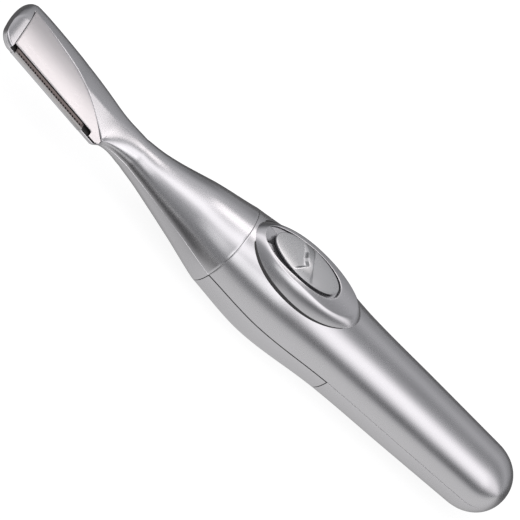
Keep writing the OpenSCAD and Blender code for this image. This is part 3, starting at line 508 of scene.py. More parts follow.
def half_neck(side, places, cut, cut_y, pocket=None):
    """Neck and head as one closed half, above (side 1) or below (side -1) the parting surface.

    Columns run over the outer skin from the cutting side to the spine, and back along the parting surface.
    Rows that are cut begin at an upright wall at cut_y instead.
    """
    s, inset = (v[:, None] for v in places)
    first, y, n = neck_skin(side, s, cut[:, None], cut_y(s))
    y_land, n_land = neck_land(side, s, first, y, pocket)
    shrink = 1 - inset / np.maximum(spine_y(s), 1)
    points = head_place(s, np.hstack([y * shrink, y_land]), side * np.hstack([n * shrink, n_land]))
    rows, cols = points.shape[:2]
    j = np.arange(y.shape[1] - 1)
    ends = [row * cols + np.stack([j, j + 1, cols - 2 - j, cols - 1 - j], -1) for row in (0, rows - 1)]
    return points.reshape(-1, 3), np.vstack([grid_faces(rows, cols, wrap=True), *ends])


SLAB_EDGE, SLAB_COLS = 0.12, 24


def head_slab(places, lo, hi, bottom, top):
    """Plate in the head's own frame: rows along s from lo to hi, rounded where the top meets the sides."""
    s, inset = (v[:, None] for v in places)
    lo, hi, edge = lo(s) + inset, hi(s) - inset, SLAB_EDGE
    t = np.linspace(0, 1, SLAB_COLS)[None, :]
    psi = np.radians([0, 30, 60])[None, :]
    y = np.hstack([lo, lo + edge * (1 - np.cos(psi)), mix(lo + edge, hi - edge, t),
                   hi - edge * (1 - np.cos(psi[:, ::-1])), hi])
    n = np.hstack([bottom + 0 * lo, top(lo) - edge * (1 - np.sin(psi)), top(mix(lo + edge, hi - edge, t)),
                   top(hi) - edge * (1 - np.sin(psi[:, ::-1])), bottom + 0 * hi])
    n = np.maximum(n - inset * (n > bottom), bottom)
    z = np.broadcast_to(n, y.shape)
    x = PIVOT_X - s * math.cos(PITCH) + z * math.sin(PITCH)
    up = NECK_RISE + s * math.sin(PITCH) + z * math.cos(PITCH)
    points = np.stack([x + 0 * y, y, LIFT + up], -1)
    return points.reshape(-1, 3), tube_faces(*y.shape)


def oval(x, length, width, angle, power=2.0):
    """Plan outline: an ellipse, or fuller towards a rectangle as the power rises above 2."""
    c, s = np.cos(angle), np.sin(angle)
    r = (np.abs(c) ** power + np.abs(s) ** power) ** (-1 / power) if power != 2 else 1
    return np.stack([x + length / 2 * c * r, width / 2 * s * r], -1)


# Switch: the raised oval and the button, by the same rules as their solids
BEZEL_LEN, BEZEL_W, BEZEL_RISE, BEZEL_SLOPE_W = 31.0, 16.4, 1.3, 2.4
BUTTON_LEN, BUTTON_W, BUTTON_CREST, TRAVEL = 18.4, 8.8, 1.1, 1.8
BEZEL_X = RING_X + 0.6 + BEZEL_LEN / 2
BUTTON_X = RING_X + 2.9 + TRAVEL + BUTTON_LEN / 2
BEZEL_Z, BUTTON_Z, RIM_RISE = 0.68 * BELLY_R, 0.885 * (BELLY_R + BEZEL_RISE), 1.0
CAP_GAP = 0.3            # of the cap's length and width, which its rounded rim takes up again
RECESS_LEN, RECESS_W, RECESS_POWER = BUTTON_LEN + TRAVEL + 1.0, BUTTON_W + 1.2, 2.3
RECESS_FLOOR, PLATFORM_LOW = BUTTON_Z - 0.1, BUTTON_Z - 1.2
UNDER_IN, LIP_ROUND, SLOT_W, FRAME_W = 3.6, 0.16, 2.4, 1.3
STEMS, STEM_R = [BUTTON_X - 0.15 * BUTTON_LEN, BUTTON_X + 0.15 * BUTTON_LEN], 1.1
SLIDER_Z = BUTTON_Z - 2.7
ROUND = np.radians(np.arange(0, 360, 1.5))

# Dishes of the button: shares of its half width and half length along their edges at the ridge
FRONT_DISH = [(-1, -0.28), (-0.73, -0.185), (-0.29, 0), (-0.11, -0.076), (0.07, -0.12), (0.4, -0.163),
              (0.82, -0.272), (1, -0.326)]
REAR_DISH = [(-1, 0.326), (-0.8, 0.26), (-0.56, 0.222), (-0.12, 0.139), (0.33, 0.073), (0.875, 0.022),
             (1, 0)]
DISH_CREST, DISH_BLEND = 0.15, 0.8


def bezel_n(x, y):
    """Height of the raised oval: its own crown, then a shoulder that falls ever more steeply to its rim.

    The fall is a power of the share of the shoulder's width by which a place is nearer to the rim.
    """
    r = body_r(x)
    rho = np.hypot((x - BEZEL_X) / (BEZEL_LEN / 2), y / (BEZEL_W / 2))
    inside = np.hypot(x - BEZEL_X, y) * (1 / np.maximum(rho, 0.01) - 1)
    fall = 1 - np.clip(inside / BEZEL_SLOPE_W, 0, 1)
    return mix(np.sqrt(r * r - y * y) - 0.12, np.sqrt(r * r - (0.8 * y) ** 2) + BEZEL_RISE, 1 - fall**1.7)


def dish_edge(y, shares):
    """X of a dish's edge at y, by straight steps between its shares."""
    return BUTTON_X + BUTTON_LEN / 2 * np.interp(2 * y / BUTTON_W, *np.transpose(shares))


def button_n(x, y, f):
    """Height of the button at the share f from its middle to its rim.

    A crown that falls with the square of f, and a flatter one in the two dishes, one in front and one behind
    the ridge; the two are blended over DISH_BLEND at the dishes' edges.
    """
    depth = np.maximum(dish_edge(y, FRONT_DISH) - x, x - dish_edge(y, REAR_DISH))
    crown, dish = BUTTON_CREST * (1 - f * f), DISH_CREST * (1 - f**4)
    return BUTTON_Z + RIM_RISE + mix(crown, dish, smooth(0.5 + depth / DISH_BLEND))


def recess_outline():
    """Outline of the button's recess: a full oval, wider behind than in front, and close at the far side."""
    p = oval(BUTTON_X - TRAVEL / 2, RECESS_LEN, RECESS_W, ROUND, RECESS_POWER)
    p[:, 1] *= 1 + 0.07 * np.cos(ROUND) - 0.1 * (p[:, 1] > 0)
    return p


def lofted(rows):
    """Points of a stack of outlines in plan, each with its height over the handle's axis."""
    return np.stack([np.column_stack([p, LIFT + z + np.zeros(len(p))]) for p, z in rows])


# Section of the dark bead that paints the shade at the platform's foot: millimetres inwards or a share of
# its width outwards, and height over the body
SHADE_BEAD = [(-0.1, -0.4), (-0.1, 0.02), (0.1, 0.05), (0.5, 0.06), (0.9, 0.03), (1, -0.02), (1, -0.4)]


def foot_shade_bead(side):
    """Painted shade along the platform's foot on one side: a low dark bead on the rim, thin at both ends."""
    a = np.radians(np.linspace(203, 327, 90)) * side
    rim = oval(BEZEL_X, BEZEL_LEN, BEZEL_W, a)
    out = np.column_stack([np.cos(a) / BEZEL_LEN, np.sin(a) / BEZEL_W])
    out /= np.linalg.norm(out, axis=1)[:, None]
    share = np.linspace(0, 1, len(a))
    width = (0.03 + 0.46 * np.sin(math.pi * share**0.5) ** 0.8)[:, None]
    rows = []
    for d, rise in SHADE_BEAD:
        p = rim + (d * width if d > 0 else d) * out
        rows.append((p, rise + np.sqrt(body_r(p[:, 0]) ** 2 - p[:, 1] ** 2)))
    points = lofted(rows).swapaxes(0, 1)
    return points.reshape(-1, 3), tube_faces(*points.shape[:2])


def raised_oval():
    """Switch platform as a ring: slot, recess and its wall, lip, crown, shoulder, rim and underside."""
    slot = oval((STEMS[0] + STEMS[1] - TRAVEL) / 2, STEMS[1] - STEMS[0] + TRAVEL + SLOT_W, SLOT_W, ROUND, 8)
    recess = recess_outline()
    rim = oval(BEZEL_X, BEZEL_LEN, BEZEL_W, ROUND)
    under = oval(BEZEL_X, BEZEL_LEN - UNDER_IN, BEZEL_W - UNDER_IN, ROUND)
    rows = [(slot, PLATFORM_LOW), (slot, RECESS_FLOOR), (mix(slot, recess, 0.97), RECESS_FLOOR)]
    lip_share = 0.06
    for psi in np.radians([0, 30, 60, 90]):
        p = mix(recess, rim, lip_share * (1 - math.cos(psi)))
        fall = LIP_ROUND * (1 - math.sin(psi))
        rows.append((p, np.maximum(bezel_n(p[:, 0], p[:, 1]) - fall, RECESS_FLOOR)))
    for share in mix(lip_share, 1, np.linspace(0, 1, 52)[1:] ** 0.7):
        p = mix(recess, rim, share)
        rows.append((p, np.maximum(bezel_n(p[:, 0], p[:, 1]), BEZEL_Z + 0.2)))
    rows += [(rim, BEZEL_Z), (under, BEZEL_Z), (under, PLATFORM_LOW), rows[0]]
    return lofted(rows).reshape(-1, 3), grid_faces(len(rows), len(ROUND), wrap=True)


def thumb_button():
    """Button cap: oval rings from the middle to the rim, a half circle round it, and a flat underside."""
    length, width = BUTTON_LEN - CAP_GAP, BUTTON_W - CAP_GAP
    rows = []
    for f in np.linspace(0.02, 1, 60):
        p = oval(BUTTON_X, f * length, f * width, ROUND)
        rows.append((p, button_n(p[:, 0], p[:, 1], f)))
    for psi in np.radians([30, 60, 90, 135, 180]):
        p = oval(BUTTON_X, length + CAP_GAP * math.sin(psi), width + CAP_GAP * math.sin(psi), ROUND)
        rows.append((p, BUTTON_Z + RIM_RISE - CAP_GAP / 2 * (1 - math.cos(psi))))
    return lofted(rows).reshape(-1, 3), tube_faces(len(rows), len(ROUND))


BLOCK_IN, OVERLAP = 0.5, 0.2


def button_carrier():
    """Dark moulding under the cap: an upright oval block, whose black also paints the shade in the gap round
    the cap, and the two stems that reach the slider.
    """
    p = oval(BUTTON_X, BUTTON_LEN - BLOCK_IN, BUTTON_W - BLOCK_IN, ROUND[::2])
    block = lofted([(p, BUTTON_Z), (p, BUTTON_Z + RIM_RISE - OVERLAP)])
    stems = [post(x, 0, STEM_R, LIFT + SLIDER_Z, LIFT + BUTTON_Z + OVERLAP) for x in STEMS]
    return joined((block.reshape(-1, 3), tube_faces(2, len(p))), *stems)


# Materials

def rgba(tint, share=1):
    """Tint times a share, as the four numbers of a colour socket."""
    return tuple(min(1, share * c) for c in tint) + (1,)


def grey(level):
    """Grey of a level, as the four numbers of a colour socket."""
    return level, level, level, 1


class Value:
    """A socket of a finish. Arithmetic on it adds Math nodes."""

    def __init__(self, finish, socket):
        self.finish, self.socket = finish, socket

    def math(self, operation, *terms):
        """Result of a Math node on the terms."""
        return self.finish.node("ShaderNodeMath", {"operation": operation}, dict(enumerate(terms)))

    def __add__(self, other):
        return self.math("ADD", self, other)

    def __sub__(self, other):
        return self.math("SUBTRACT", self, other)

    def __rsub__(self, other):
        return self.math("SUBTRACT", other, self)

    def __mul__(self, other):
        return self.math("MULTIPLY", self, other)

    def __truediv__(self, other):
        return self.math("DIVIDE", self, other)

    __radd__, __rmul__ = __add__, __mul__


class Finish:
    """A material, or the world, as it is made: node() adds any node, shader() ends it with one surface."""

    def __init__(self, name, world=None):
        owner = world or bpy.data.materials.new(name)
        owner.use_nodes = True
        self.material, self.tree = owner, owner.node_tree
        self.tree.nodes.clear()

    def node(self, kind, settings=None, sockets=None, out=0):
        """Adds a node, sets its settings first, then fills its sockets with values or links."""
        new = self.tree.nodes.new(kind)
        for name, setting in (settings or {}).items():
            if name == "stops":
                ramp = new.color_ramp.elements
                while len(ramp) < len(setting):
                    ramp.new(0.5)
                for stop, (place, colour) in zip(ramp, setting):
                    stop.position, stop.color = place, grey(colour) if isinstance(colour, float) else colour
            else:
                setattr(new, name, setting)
        for name, value in (sockets or {}).items():
            if isinstance(value, Value):
                self.tree.links.new(value.socket, new.inputs[name])
            else:
                new.inputs[name].default_value = value
        return Value(self, new.outputs[out])

    def place(self, scale=(1, 1, 1)):
        """The piece's own coordinates in metres, stretched."""
        where = self.node("ShaderNodeTexCoord", out="Object")
        return self.node("ShaderNodeMapping", {"vector_type": "POINT"}, {"Vector": where, "Scale": scale})

    def axis(self, name, where=None):
        """One of the three coordinates X, Y and Z of a place, or of the piece's own."""
        return self.node("ShaderNodeSeparateXYZ", {}, {0: where or self.place()}, out=name)

    def noise(self, where, scale, detail=2.0, rough=0.5):
        """Cloudy noise from 0 to 1, with its scale in waves per metre."""
        sockets = {"Vector": where, "Scale": scale, "Detail": detail, "Roughness": rough}
        return self.node("ShaderNodeTexNoise", {}, sockets)

    def steps(self, value, *stops):
        """Value through a ramp of (place, shade)."""
        return self.node("ShaderNodeValToRGB", {"stops": stops}, {"Fac": value})

    def blend(self, share, a, b):
        """Colour a where share is 0, b where it is 1."""
        return self.node("ShaderNodeMix", {"data_type": "RGBA"}, {0: share, 6: a, 7: b}, out=2)

    def span(self, value, low, high):
        """Cubic ease from 0 at low to 1 at high."""
        return self.node("ShaderNodeMapRange", {"interpolation_type": "SMOOTHSTEP"},
                         {"Value": value, "From Min": low, "From Max": high})

    def ray(self, kind):
        """1 for the rays of a kind, else 0."""
        return self.node("ShaderNodeLightPath", out=kind)

    def bump(self, height, strength, distance, under=None):
        """Normal of a relief of a height in metres, over the relief under it if there is one."""
        sockets = {"Height": height, "Strength": strength, "Distance": distance}
        if under:
            sockets["Normal"] = under
        return self.node("ShaderNodeBump", {}, sockets)

    def shader(self, **sockets):
        """Ends the material with one surface, whose sockets are named with _ for a space."""
        named = {k.replace("_", " "): v for k, v in sockets.items()}
        surface = self.node("ShaderNodeBsdfPrincipled", {}, named)
        end = self.tree.nodes.new("ShaderNodeOutputMaterial")
        self.tree.links.new(surface.socket, end.inputs["Surface"])
        return self.material


def satin_silver(name, tint, rough, streak=0.0, peel=0.035):
    """Plated moulding: bright metal with a fine orange-peel grain, faint clouds and soft handling marks."""
    f = Finish(name)
    where = f.place()
    cloud = f.noise(where, 60, 3)
    grain = f.noise(where, 2600, 2, 0.6)
    marks = f.noise(f.place((0.12, 1, 1)), 900, 3, 0.6)
    colour = f.blend(cloud, rgba(tint, 0.93), rgba(tint))
    gloss = rough - 0.04 + 0.08 * cloud + 0.05 * grain + streak * (marks - 0.5)
    normal = f.bump(marks, 0.05 + streak, 0.00005, f.bump(grain, peel, 0.00004))
    return f.shader(Base_Color=colour, Metallic=1.0, Roughness=gloss, Normal=normal)


def lined_metal(finish, colour, rough, along=(0.05, 1, 1), depth=0.25):
    """Ends a metal finish whose fine lines, drawn out along one direction, vary its gloss and its relief."""
    lines = finish.noise(finish.place(along), 4000, 3, 0.7)
    return finish.shader(Base_Color=colour, Metallic=1.0, Roughness=rough + 0.15 * (lines - 0.5),
                         Normal=finish.bump(lines, depth, 0.00003))


def ground_steel(name, tint, rough, along=(0.05, 1, 1)):
    """Ground or drawn metal: fine lines along one direction over a slightly uneven tone."""
    f = Finish(name)
    tone = f.noise(f.place(), 150, 2)
    return lined_metal(f, f.blend(tone, rgba(tint, 0.85), rgba(tint)), rough, along)


def moulded(name, tint, rough, grain=0.2):
    """Moulded plastic or rubber: faint mottling and a fine spark-eroded grain."""
    f = Finish(name)
    where = f.place()
    cloud, fine = f.noise(where, 200, 2), f.noise(where, 3500, 2, 0.6)
    colour = f.blend(cloud, rgba(tint, 0.85), rgba(tint, 1.05))
    gloss, normal = rough + 0.1 * (fine - 0.5), f.bump(fine, grain, 0.00005)
    return f.shader(Base_Color=colour, Roughness=gloss, Normal=normal)


STRIP_Y, STRIP_W = -8.2, 2.0  # where the strip's tone begins to change, and over what width


def comb_strip(name, rim, comb, rough):
    """Drawn steel strip with a bright rim; its comb, whose real teeth are finer than these, is painted dark
    as the shade between the teeth.
    """
    f = Finish(name)
    share = (f.axis("Y") - STRIP_Y * MM) * (1 / (STRIP_W * MM))
    return lined_metal(f, f.blend(f.steps(share, (0.24, 0.0), (0.3, 1.0)), rgba(rim), rgba(comb)), rough)


SILVER = (0.76, 0.75, 0.77)
looks = {
    "body": satin_silver("satin_silver", SILVER, 0.25),
    "neck": satin_silver("satin_silver_neck", SILVER, 0.24, peel=0.05),
    "platform": satin_silver("satin_silver_platform", SILVER, 0.24),
    "button": satin_silver("satin_silver_button", (0.74, 0.74, 0.75), 0.26),
    "facet": satin_silver("satin_silver_facet", (0.78, 0.75, 0.76), 0.27, 0.06, 0.05),
    # Blade and base plate are far darker than real steel: painted shade of the slot between cover and guard.
    "blade": ground_steel("blade_steel_darkened_as_shade", (0.17, 0.145, 0.14), 0.3),
    # The comb's dark colour is painted shade between the guard's teeth.
    "guard": comb_strip("guard_strip", (0.72, 0.7, 0.69), (0.24, 0.2, 0.195), 0.33),
    "plate": ground_steel("base_sheet_darkened_as_shade", (0.16, 0.15, 0.15), 0.4),
    "white": moulded("white_moulding", (0.84, 0.84, 0.81), 0.5),
    "dark": moulded("black_moulding", (0.03, 0.03, 0.035), 0.45),
    # Near black: unplated plastic inside the shells, and painted shade in the seams, on the parting
    # chamfers, in the slot by the blade and at the platform's foot.
    "bare_or_shade": moulded("unplated_moulding_and_painted_shade", (0.035, 0.034, 0.034), 0.55),
    "board": moulded("green_board", (0.02, 0.19, 0.07), 0.3, 0.1),
    "gilt": ground_steel("gilt_strip", (0.86, 0.66, 0.3), 0.22),
    "screw": ground_steel("zinc_screw", (0.72, 0.72, 0.7), 0.3, (1, 1, 0.05)),
    "cell": moulded("cell_sleeve", (0.05, 0.055, 0.07), 0.3, 0.05),
    "nickel": ground_steel("nickel_cap", (0.78, 0.77, 0.74), 0.2),
    "wire": ground_steel("spring_wire", (0.62, 0.62, 0.63), 0.25, (1, 1, 1)),
    "can": ground_steel("drawn_can", (0.56, 0.57, 0.6), 0.3),
    "ferrite": moulded("ferrite", (0.06, 0.06, 0.065), 0.6),
    "boot": moulded("rubber_boot", (0.035, 0.035, 0.035), 0.7, 0.35),
    "bush": ground_steel("sintered_bush", (0.66, 0.46, 0.22), 0.4, (1, 1, 1)),
    "rod": ground_steel("ground_rod", (0.66, 0.67, 0.7), 0.18),
    "copper": ground_steel("copper_winding", (0.78, 0.36, 0.18), 0.35, (1, 0.1, 0.1)),
    "slug": ground_steel("pressed_weight", (0.45, 0.42, 0.36), 0.45, (1, 1, 1)),
    "red": moulded("red_lead", (0.5, 0.025, 0.02), 0.4, 0.05),
    "black": moulded("black_lead", (0.02, 0.02, 0.022), 0.4, 0.05),
}

# Finish of each node that stays as it is
node_looks = {
    "switch_slider": "dark", "switch_wiper": "gilt", "switch_board": "board", "switch_contacts": "gilt",
    "blade_base": "plate", "razor_blade": "blade", "blade_guard": "guard", "battery_tray": "white",
    "tray_screws": "screw", "cell_can": "cell", "cell_cap": "nickel", "front_contact": "gilt",
    "battery_spring": "wire", "rear_contact": "gilt", "motor_can": "can", "motor_magnets": "ferrite",
    "motor_end_cap": "white", "motor_terminals": "gilt", "motor_boot": "boot", "motor_bush": "bush",
    "motor_shaft": "rod", "armature": "copper", "eccentric_weight": "slug", "feed_wire": "red",
    "motor_wire": "red", "return_wire": "black"}


# The handle: upper shell with its screw bosses, tail shell, and battery door with its snap tongues

BOSS_Y, BOSS_R, BOSS_HOLE, BOSS_LOW, BOSS_SHARES = 7.9, 1.6, 0.82, 0.9, (0.112, 0.3)
TONGUE_LEN, TONGUE_SHARES = 5, (0.36, 0.82)


def inside_oval(x, y):
    """True under the raised oval, where the shell is open for the switch."""
    return ((x - BEZEL_X) / (BEZEL_LEN / 2 - FRAME_W)) ** 2 + (y / (BEZEL_W / 2 - FRAME_W)) ** 2 < 1


def wall_mid(x, y):
    """Height of the middle of the handle's wall over a place in plan."""
    return LIFT + np.sqrt(np.maximum((body_r(x) - WALL / 2) ** 2 - y * y, 1))


def half(side, chamfered):
    """Test for the faces of an upper half (side 1) or a lower one (side -1) that are unplated or painted
    with shade.
    """
    return lambda mesh: unplated_or_shaded_faces(mesh, side, chamfered)


def snap_tongues():
    """Four tongues inside the door's edge, rounded at the top in steps, and fitted to their narrower end."""
    z = np.array([-4, 1.6, 1.9, 2.0, 2.0, 1.9, 1.6, -4])
    inwards = 0.1 + np.array([0, 0, 0.12, 0.3, 0.5, 0.68, 0.8, 0.8])
    parts = []
    for x0 in RING_X + np.array(TONGUE_SHARES) * DOOR_LEN:
        x1 = x0 + TONGUE_LEN
        r = min(body_r(x0), body_r(x1)) - WALL
        y = math.sqrt(r * r - z.max() ** 2) - inwards
        for side in (-1, 1):
            outline = [np.column_stack([x + 0 * y, side * y, LIFT + z]) for x in (x0, x1)]
            parts.append((np.vstack(outline), tube_faces(2, len(y))))
    return parts


upper_rows = with_dome(shell_rows(eased(RING_X + SEAM_AT_RING, DOME_X, 170, 0.15), back=False))
bosses = [tube(x, side * BOSS_Y, BOSS_R, BOSS_HOLE, LIFT + BOSS_LOW, wall_mid)
          for x in RING_X + np.array(BOSS_SHARES) * BODY_LEN for side in (-1, 1)]
make("upper_shell", *joined(half_shell(upper_rows, 0, GAP, 121, inside_oval), *bosses),
     "housing", "shell", looks["body"], ["upper_body_shell"], bare_or_shade=half(1, True))

tail_rows = with_dome(shell_rows(eased(DOOR_X + TAIL_GAP, DOME_X, 90, 0.2), back=False))
make("tail_shell", *half_shell(tail_rows, math.pi, GAP, 97),
     "housing", "shell", looks["body"], ["tail_lower_shell"], bare_or_shade=half(-1, False))

door_rows = shell_rows(eased(RING_X + DOOR_END_GAP, DOOR_X - DOOR_END_GAP, 110, 0.15))
make("door", *joined(half_shell(door_rows, math.pi, DOOR_GAP, 121), *snap_tongues()),
     "door", "shell", looks["body"], ["battery_door"], bare_or_shade=half(-1, True))


# The neck and head, and the cassette's cover

PAIR, PAIR_CLEAR = 0.05, 0.06
RAIL_POCKET = (HEEL_S + 8.9, HEEL_S + 22.1, facet_y(HEEL_S + 9) - 0.9, 0.42)


def neck_rows(low, high):
    """Rows from the ring seam to the tip, and which of them lie in the cut between low and high.

    They are closest at the heel and the tip, with a pair of rows at the end of the hollow and of the cut.
    """
    s = np.r_[eased(-NECK_LEN + SEAM_AT_RING, FLAT_FROM, 44, 0),
              np.arange(FLAT_FROM + 0.5, HEEL_S - 0.1, 0.4), np.arange(HEEL_S - 0.4, HEEL_S + 8, 0.25),
              np.arange(HEEL_S + 8, HEEL_S + 27, 0.5), FRONT_S + np.arange(-0.6, 0.7, 0.2),
              PIVOT_X - CAVITY_END + np.array([-0.01, 0.01]),
              TIP_S + TIP_ROUND * np.sin(np.radians(np.linspace(0, 90, 26)))]
    s = s[(np.abs(s - low) > PAIR_CLEAR) & (np.abs(s - high) > PAIR_CLEAR)]
    s = np.unique(np.round(np.r_[s, low - PAIR, low, high, high + PAIR], 4))
    s, inset = rounded_ends(s, back=False)
    return (s, inset), (s > low - PAIR / 2) & (s < high + PAIR / 2)


def cover_edge(s):
    """The cover's cutting side: the full-width ear at the heel, then set back behind edge and guard."""
    ear = np.interp(s, [HEEL_S, HEEL_S + 0.5, HEEL_END], [-6.99, -7.35, -BLADE_SIDE])
    return np.where(s < EAR_S, ear, COVER_Y)


def cover_n(y):
    """Height of the cover: the facet, sunk a little, and a crown that falls with the distance squared."""
    return facet_n(y) + CROWN * (1 - ((y - CROWN_Y) / CROWN_REACH) ** 2) - COVER_SINK


def slot_wall_shade(mesh):
    """True for the faces of the cover past its ear that look towards the edge; they are painted dark, as the
    shade in the slot by the blade.
    """
    normal, centre = face_arrays(mesh)
    return (normal[:, 1] < -0.6) & (centre[:, 0] < PIVOT_X - EAR_S)


top_rows, top_cut = neck_rows(HEEL_S - CUT_GAP, FRONT_S + CUT_GAP)
make("neck_top", *half_neck(1, top_rows, top_cut, lambda s: facet_y(s) + CUT_GAP),
     "housing", "shell", looks["neck"], ["neck_upper_shell"], bare_or_shade=half(1, True))

back_rows, back_cut = neck_rows(GUARD_S - CUT_GAP, GUARD_END + CUT_GAP)
make("neck_back", *half_neck(-1, back_rows, back_cut, lambda s: POCKET_Y + 0 * s, RAIL_POCKET),
     "housing", "shell", looks["neck"], ["neck_lower_shell"], bare_or_shade=half(-1, False))

cover_s = np.r_[np.arange(HEEL_S, HEEL_S + 8, 0.2), np.arange(HEEL_S + 8, FRONT_S, 0.5), FRONT_S,
                EAR_S - 0.02, EAR_S + 0.02]
cover_rows = rounded_ends(np.unique(np.round(cover_s, 4)))
make("cover_plate", *head_slab(cover_rows, cover_edge, facet_y, COVER_LOW, cover_n),
     "cassette", "facet", looks["facet"], ["blade_cover"], bare_or_shade=slot_wall_shade)


# The switch, and the looks of the nodes that stay as they are

make("switch_oval", *raised_oval(), "housing", "platform", looks["platform"], ["switch_bezel"])
# Dark beads on both sides of the platform's foot: painted shade, not a real groove.
make("foot_shade_beads", *joined(foot_shade_bead(1), foot_shade_bead(-1)), "housing", "dark_plastic", looks["bare_or_shade"])
make("slide_button", *thumb_button(), "switch", "button", looks["button"], ["switch_button"])
# The carrier's black also stands for the shade in the gap round the button.
make("button_carrier", *button_carrier(), "switch", "dark_plastic", looks["dark"])

for name, look in node_looks.items():
    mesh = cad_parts[name].data
    mesh.materials.clear()
    mesh.materials.append(looks[look])


# Camera: the photograph's view, from above, in front and a little past the head

VIEW_TURN, VIEW_DROP, LEAN = math.radians(16), math.radians(45), math.radians(42.77)
PICTURE_W, MM_PER_PIXEL = 520, 0.2138
AIM_X, AIM_UP = 0.755, 2.44
DISTANCE, FILM = 2.0, 36


def turned(x_axis, y_axis, z_axis, place):
    """Matrix of an object at a place, with its three axes along the given ones."""
    return Matrix.Translation(place) @ Matrix((x_axis, y_axis, z_axis)).transposed().to_4x4()


def add_object(name, data):
    """New object in the scene with the given data."""
    thing = bpy.data.objects.new(name, data)
    bpy.context.scene.collection.objects.link(thing)
    return thing


to_camera = Vector((-math.sin(VIEW_TURN), -math.cos(VIEW_TURN) * math.sin(VIEW_DROP),
                    math.cos(VIEW_TURN) * math.cos(VIEW_DROP)))
along = Vector((-math.cos(VIEW_TURN), math.sin(VIEW_TURN) * math.sin(VIEW_DROP),
                -math.sin(VIEW_TURN) * math.cos(VIEW_DROP)))
over = Vector((0, math.cos(VIEW_DROP), math.sin(VIEW_DROP)))
right = -math.cos(LEAN) * along + math.sin(LEAN) * over
upward = math.sin(LEAN) * along + math.cos(LEAN) * over
aim = Vector((AIM_X, 0, LIFT)) * MM + over * AIM_UP * MM
camera = add_object("camera", bpy.data.cameras.new("camera"))
camera.data.sensor_width, camera.data.lens = FILM, FILM * DISTANCE / (PICTURE_W * MM_PER_PIXEL * MM)
camera.data.clip_start, camera.data.clip_end = 0.1, 10
camera.matrix_world = turned(right, upward, to_camera, aim + to_camera * DISTANCE)
bpy.context.scene.camera = camera


# Lamps, in metres: a long strip overhead, and two small cards that the facet and the body's near side mirror

def softbox(name, place, direction, long_axis, size, radiance, tint=(1, 1, 1)):
    """Rectangular lamp that shines against the direction; its power is radiance times pi times its area."""
    data = bpy.data.lights.new(name, "AREA")
    data.shape, data.size, data.size_y, data.color = "RECTANGLE", size[0], size[1], tint
    data.energy = radiance * math.pi * size[0] * size[1]
    direction, side = Vector(direction).normalized(), Vector(long_axis)
    side = (side - direction * side.dot(direction)).normalized()
    lamp = add_object(name, data)
    lamp.matrix_world = turned(side, direction.cross(side), direction, Vector(place))
    lamp.visible_camera = False


OVERHEAD, HEAD_CARD = Vector((0.11, -0.39, 0.915)), Vector((0.493, 0.300, 0.817))
FACET_MID = Vector((-0.059, -0.001, 0.018))
softbox("overhead", 0.6 * OVERHEAD, OVERHEAD, (0.85, -0.53, 0), (1.1, 0.24), 0.3)
softbox("head_card", FACET_MID + 0.13 * HEAD_CARD, HEAD_CARD, (1, 0, 0), (0.066, 0.05), 1.33,
        (1, 0.955, 0.95))
softbox("side_card", (0.007, -0.087, 0.077), (0, -0.8, 0.57), (1, 0, 0), (0.056, 0.042), 0.65)


# Floor: white to the camera; the plating mirrors it as a lit band along the razor, narrower by the neck

FLOOR_HALF, FLOOR_Z, FLOOR_GLOW, RAMP_W = 1.5, -0.0002, 0.86, 0.125
NECK_MID, NECK_NEAR, NECK_FAR = -0.029, 0.013, 0.023
BODY_BAND = [(0.0, 0.6), (0.34, 0.6), (0.44, 0.52), (0.52, 0.2), (0.6, 0.06)]
NECK_BAND = [(0.0, 0.02), (0.22, 0.0), (0.28, 0.08), (0.34, 0.46), (0.44, 0.5), (0.52, 0.22), (0.6, 0.04)]
floor_look = Finish("pale_floor")
from_neck = floor_look.axis("X") - NECK_MID
from_neck = from_neck.math("ABSOLUTE", from_neck)
crosswise = floor_look.axis("Y") * (1 / RAMP_W) + 0.5
band = floor_look.blend(floor_look.span(from_neck, NECK_NEAR, NECK_FAR),
                        floor_look.steps(crosswise, *NECK_BAND), floor_look.steps(crosswise, *BODY_BAND))
seen = floor_look.ray("Is Camera Ray")
glow = FLOOR_GLOW * seen + band * (floor_look.ray("Is Glossy Ray") + floor_look.ray("Is Transmission Ray"))
floor_look.shader(Base_Color=floor_look.blend(seen, grey(0.08), grey(0.3)), Roughness=0.9,
                  Specular_IOR_Level=0.0, Emission_Color=grey(1), Emission_Strength=glow)
corners = [(x * FLOOR_HALF, y * FLOOR_HALF, FLOOR_Z) for x, y in [(-1, -1), (1, -1), (1, 1), (-1, 1)]]
floor_mesh = bpy.data.meshes.new("floor")
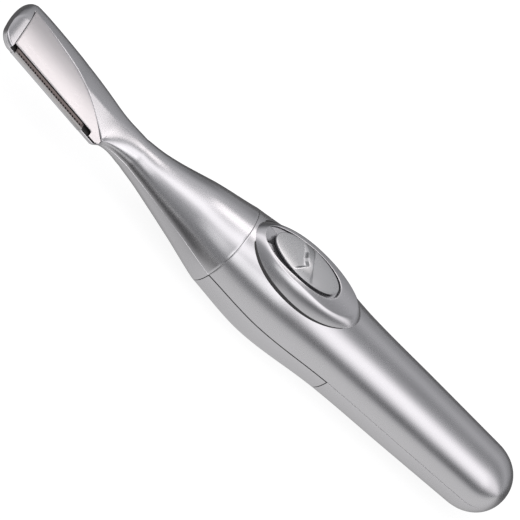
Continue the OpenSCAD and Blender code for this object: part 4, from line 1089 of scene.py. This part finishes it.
floor_mesh.from_pydata(corners, [], [(0, 1, 2, 3)])
floor_mesh.materials.append(floor_look.material)
add_object("floor", floor_mesh)


# World: white to the camera; to the plating a dark studio with lit stretches, other ones at the head's end
# than at the tail's. Each stop is an angle over the front horizon, up to 180 at the back one, and a light.

UNDER = 0.1  # share of the ramp for the directions under the front horizon
HEAD_END = [(-12, 0.12), (0, 0.17), (14, 0.26), (27, 0.3), (45, 0.36), (53, 0.55), (62, 0.88),
            (70, 1.1), (96, 1.14), (103, 0.85), (109, 0.64), (117, 0.56), (137, 0.54), (150, 0.34),
            (165, 0.1), (180, 0.08)]
TAIL_END = [(-12, 0.55), (3, 0.5), (9, 0.12), (21, 0.1), (27, 0.3), (33, 0.7), (42, 1.0), (54, 1.08),
            (67, 1.1), (75, 0.95), (82, 0.55), (90, 0.38), (104, 0.26), (112, 0.28), (124, 0.4),
            (136, 0.5), (148, 0.44), (160, 0.34), (180, 0.3)]


def studio_light(level):
    """Colour of the studio's light: blue where it is dim, close to white where it is bright."""
    bright = min(level, 1)
    return level * (0.94 + 0.06 * bright), level * (0.965 + 0.015 * bright), level, 1


sky = Finish("sky", bpy.data.worlds.new("sky"))
bpy.context.scene.world = sky.material
where = sky.node("ShaderNodeTexCoord", out="Generated")
end, depth, height = (sky.axis(k, where) for k in "XYZ")
climb = height.math("ARCTAN2", height, -1 * depth) / math.pi * (1 - UNDER) + UNDER
shades = [sky.steps(climb, *[(angle / 180 * (1 - UNDER) + UNDER, studio_light(v)) for angle, v in stops])
          for stops in (HEAD_END, TAIL_END)]
studio = sky.node("ShaderNodeBackground", {}, {"Color": sky.blend(sky.span(end, -0.08, 0.14), *shades)})
white = sky.node("ShaderNodeBackground", {}, {"Color": grey(1)})
both = sky.node("ShaderNodeMixShader", {}, {0: sky.ray("Is Camera Ray"), 1: studio, 2: white})
sky.tree.links.new(both.socket, sky.tree.nodes.new("ShaderNodeOutputWorld").inputs["Surface"])

bpy.context.scene.view_settings.view_transform = "Standard"
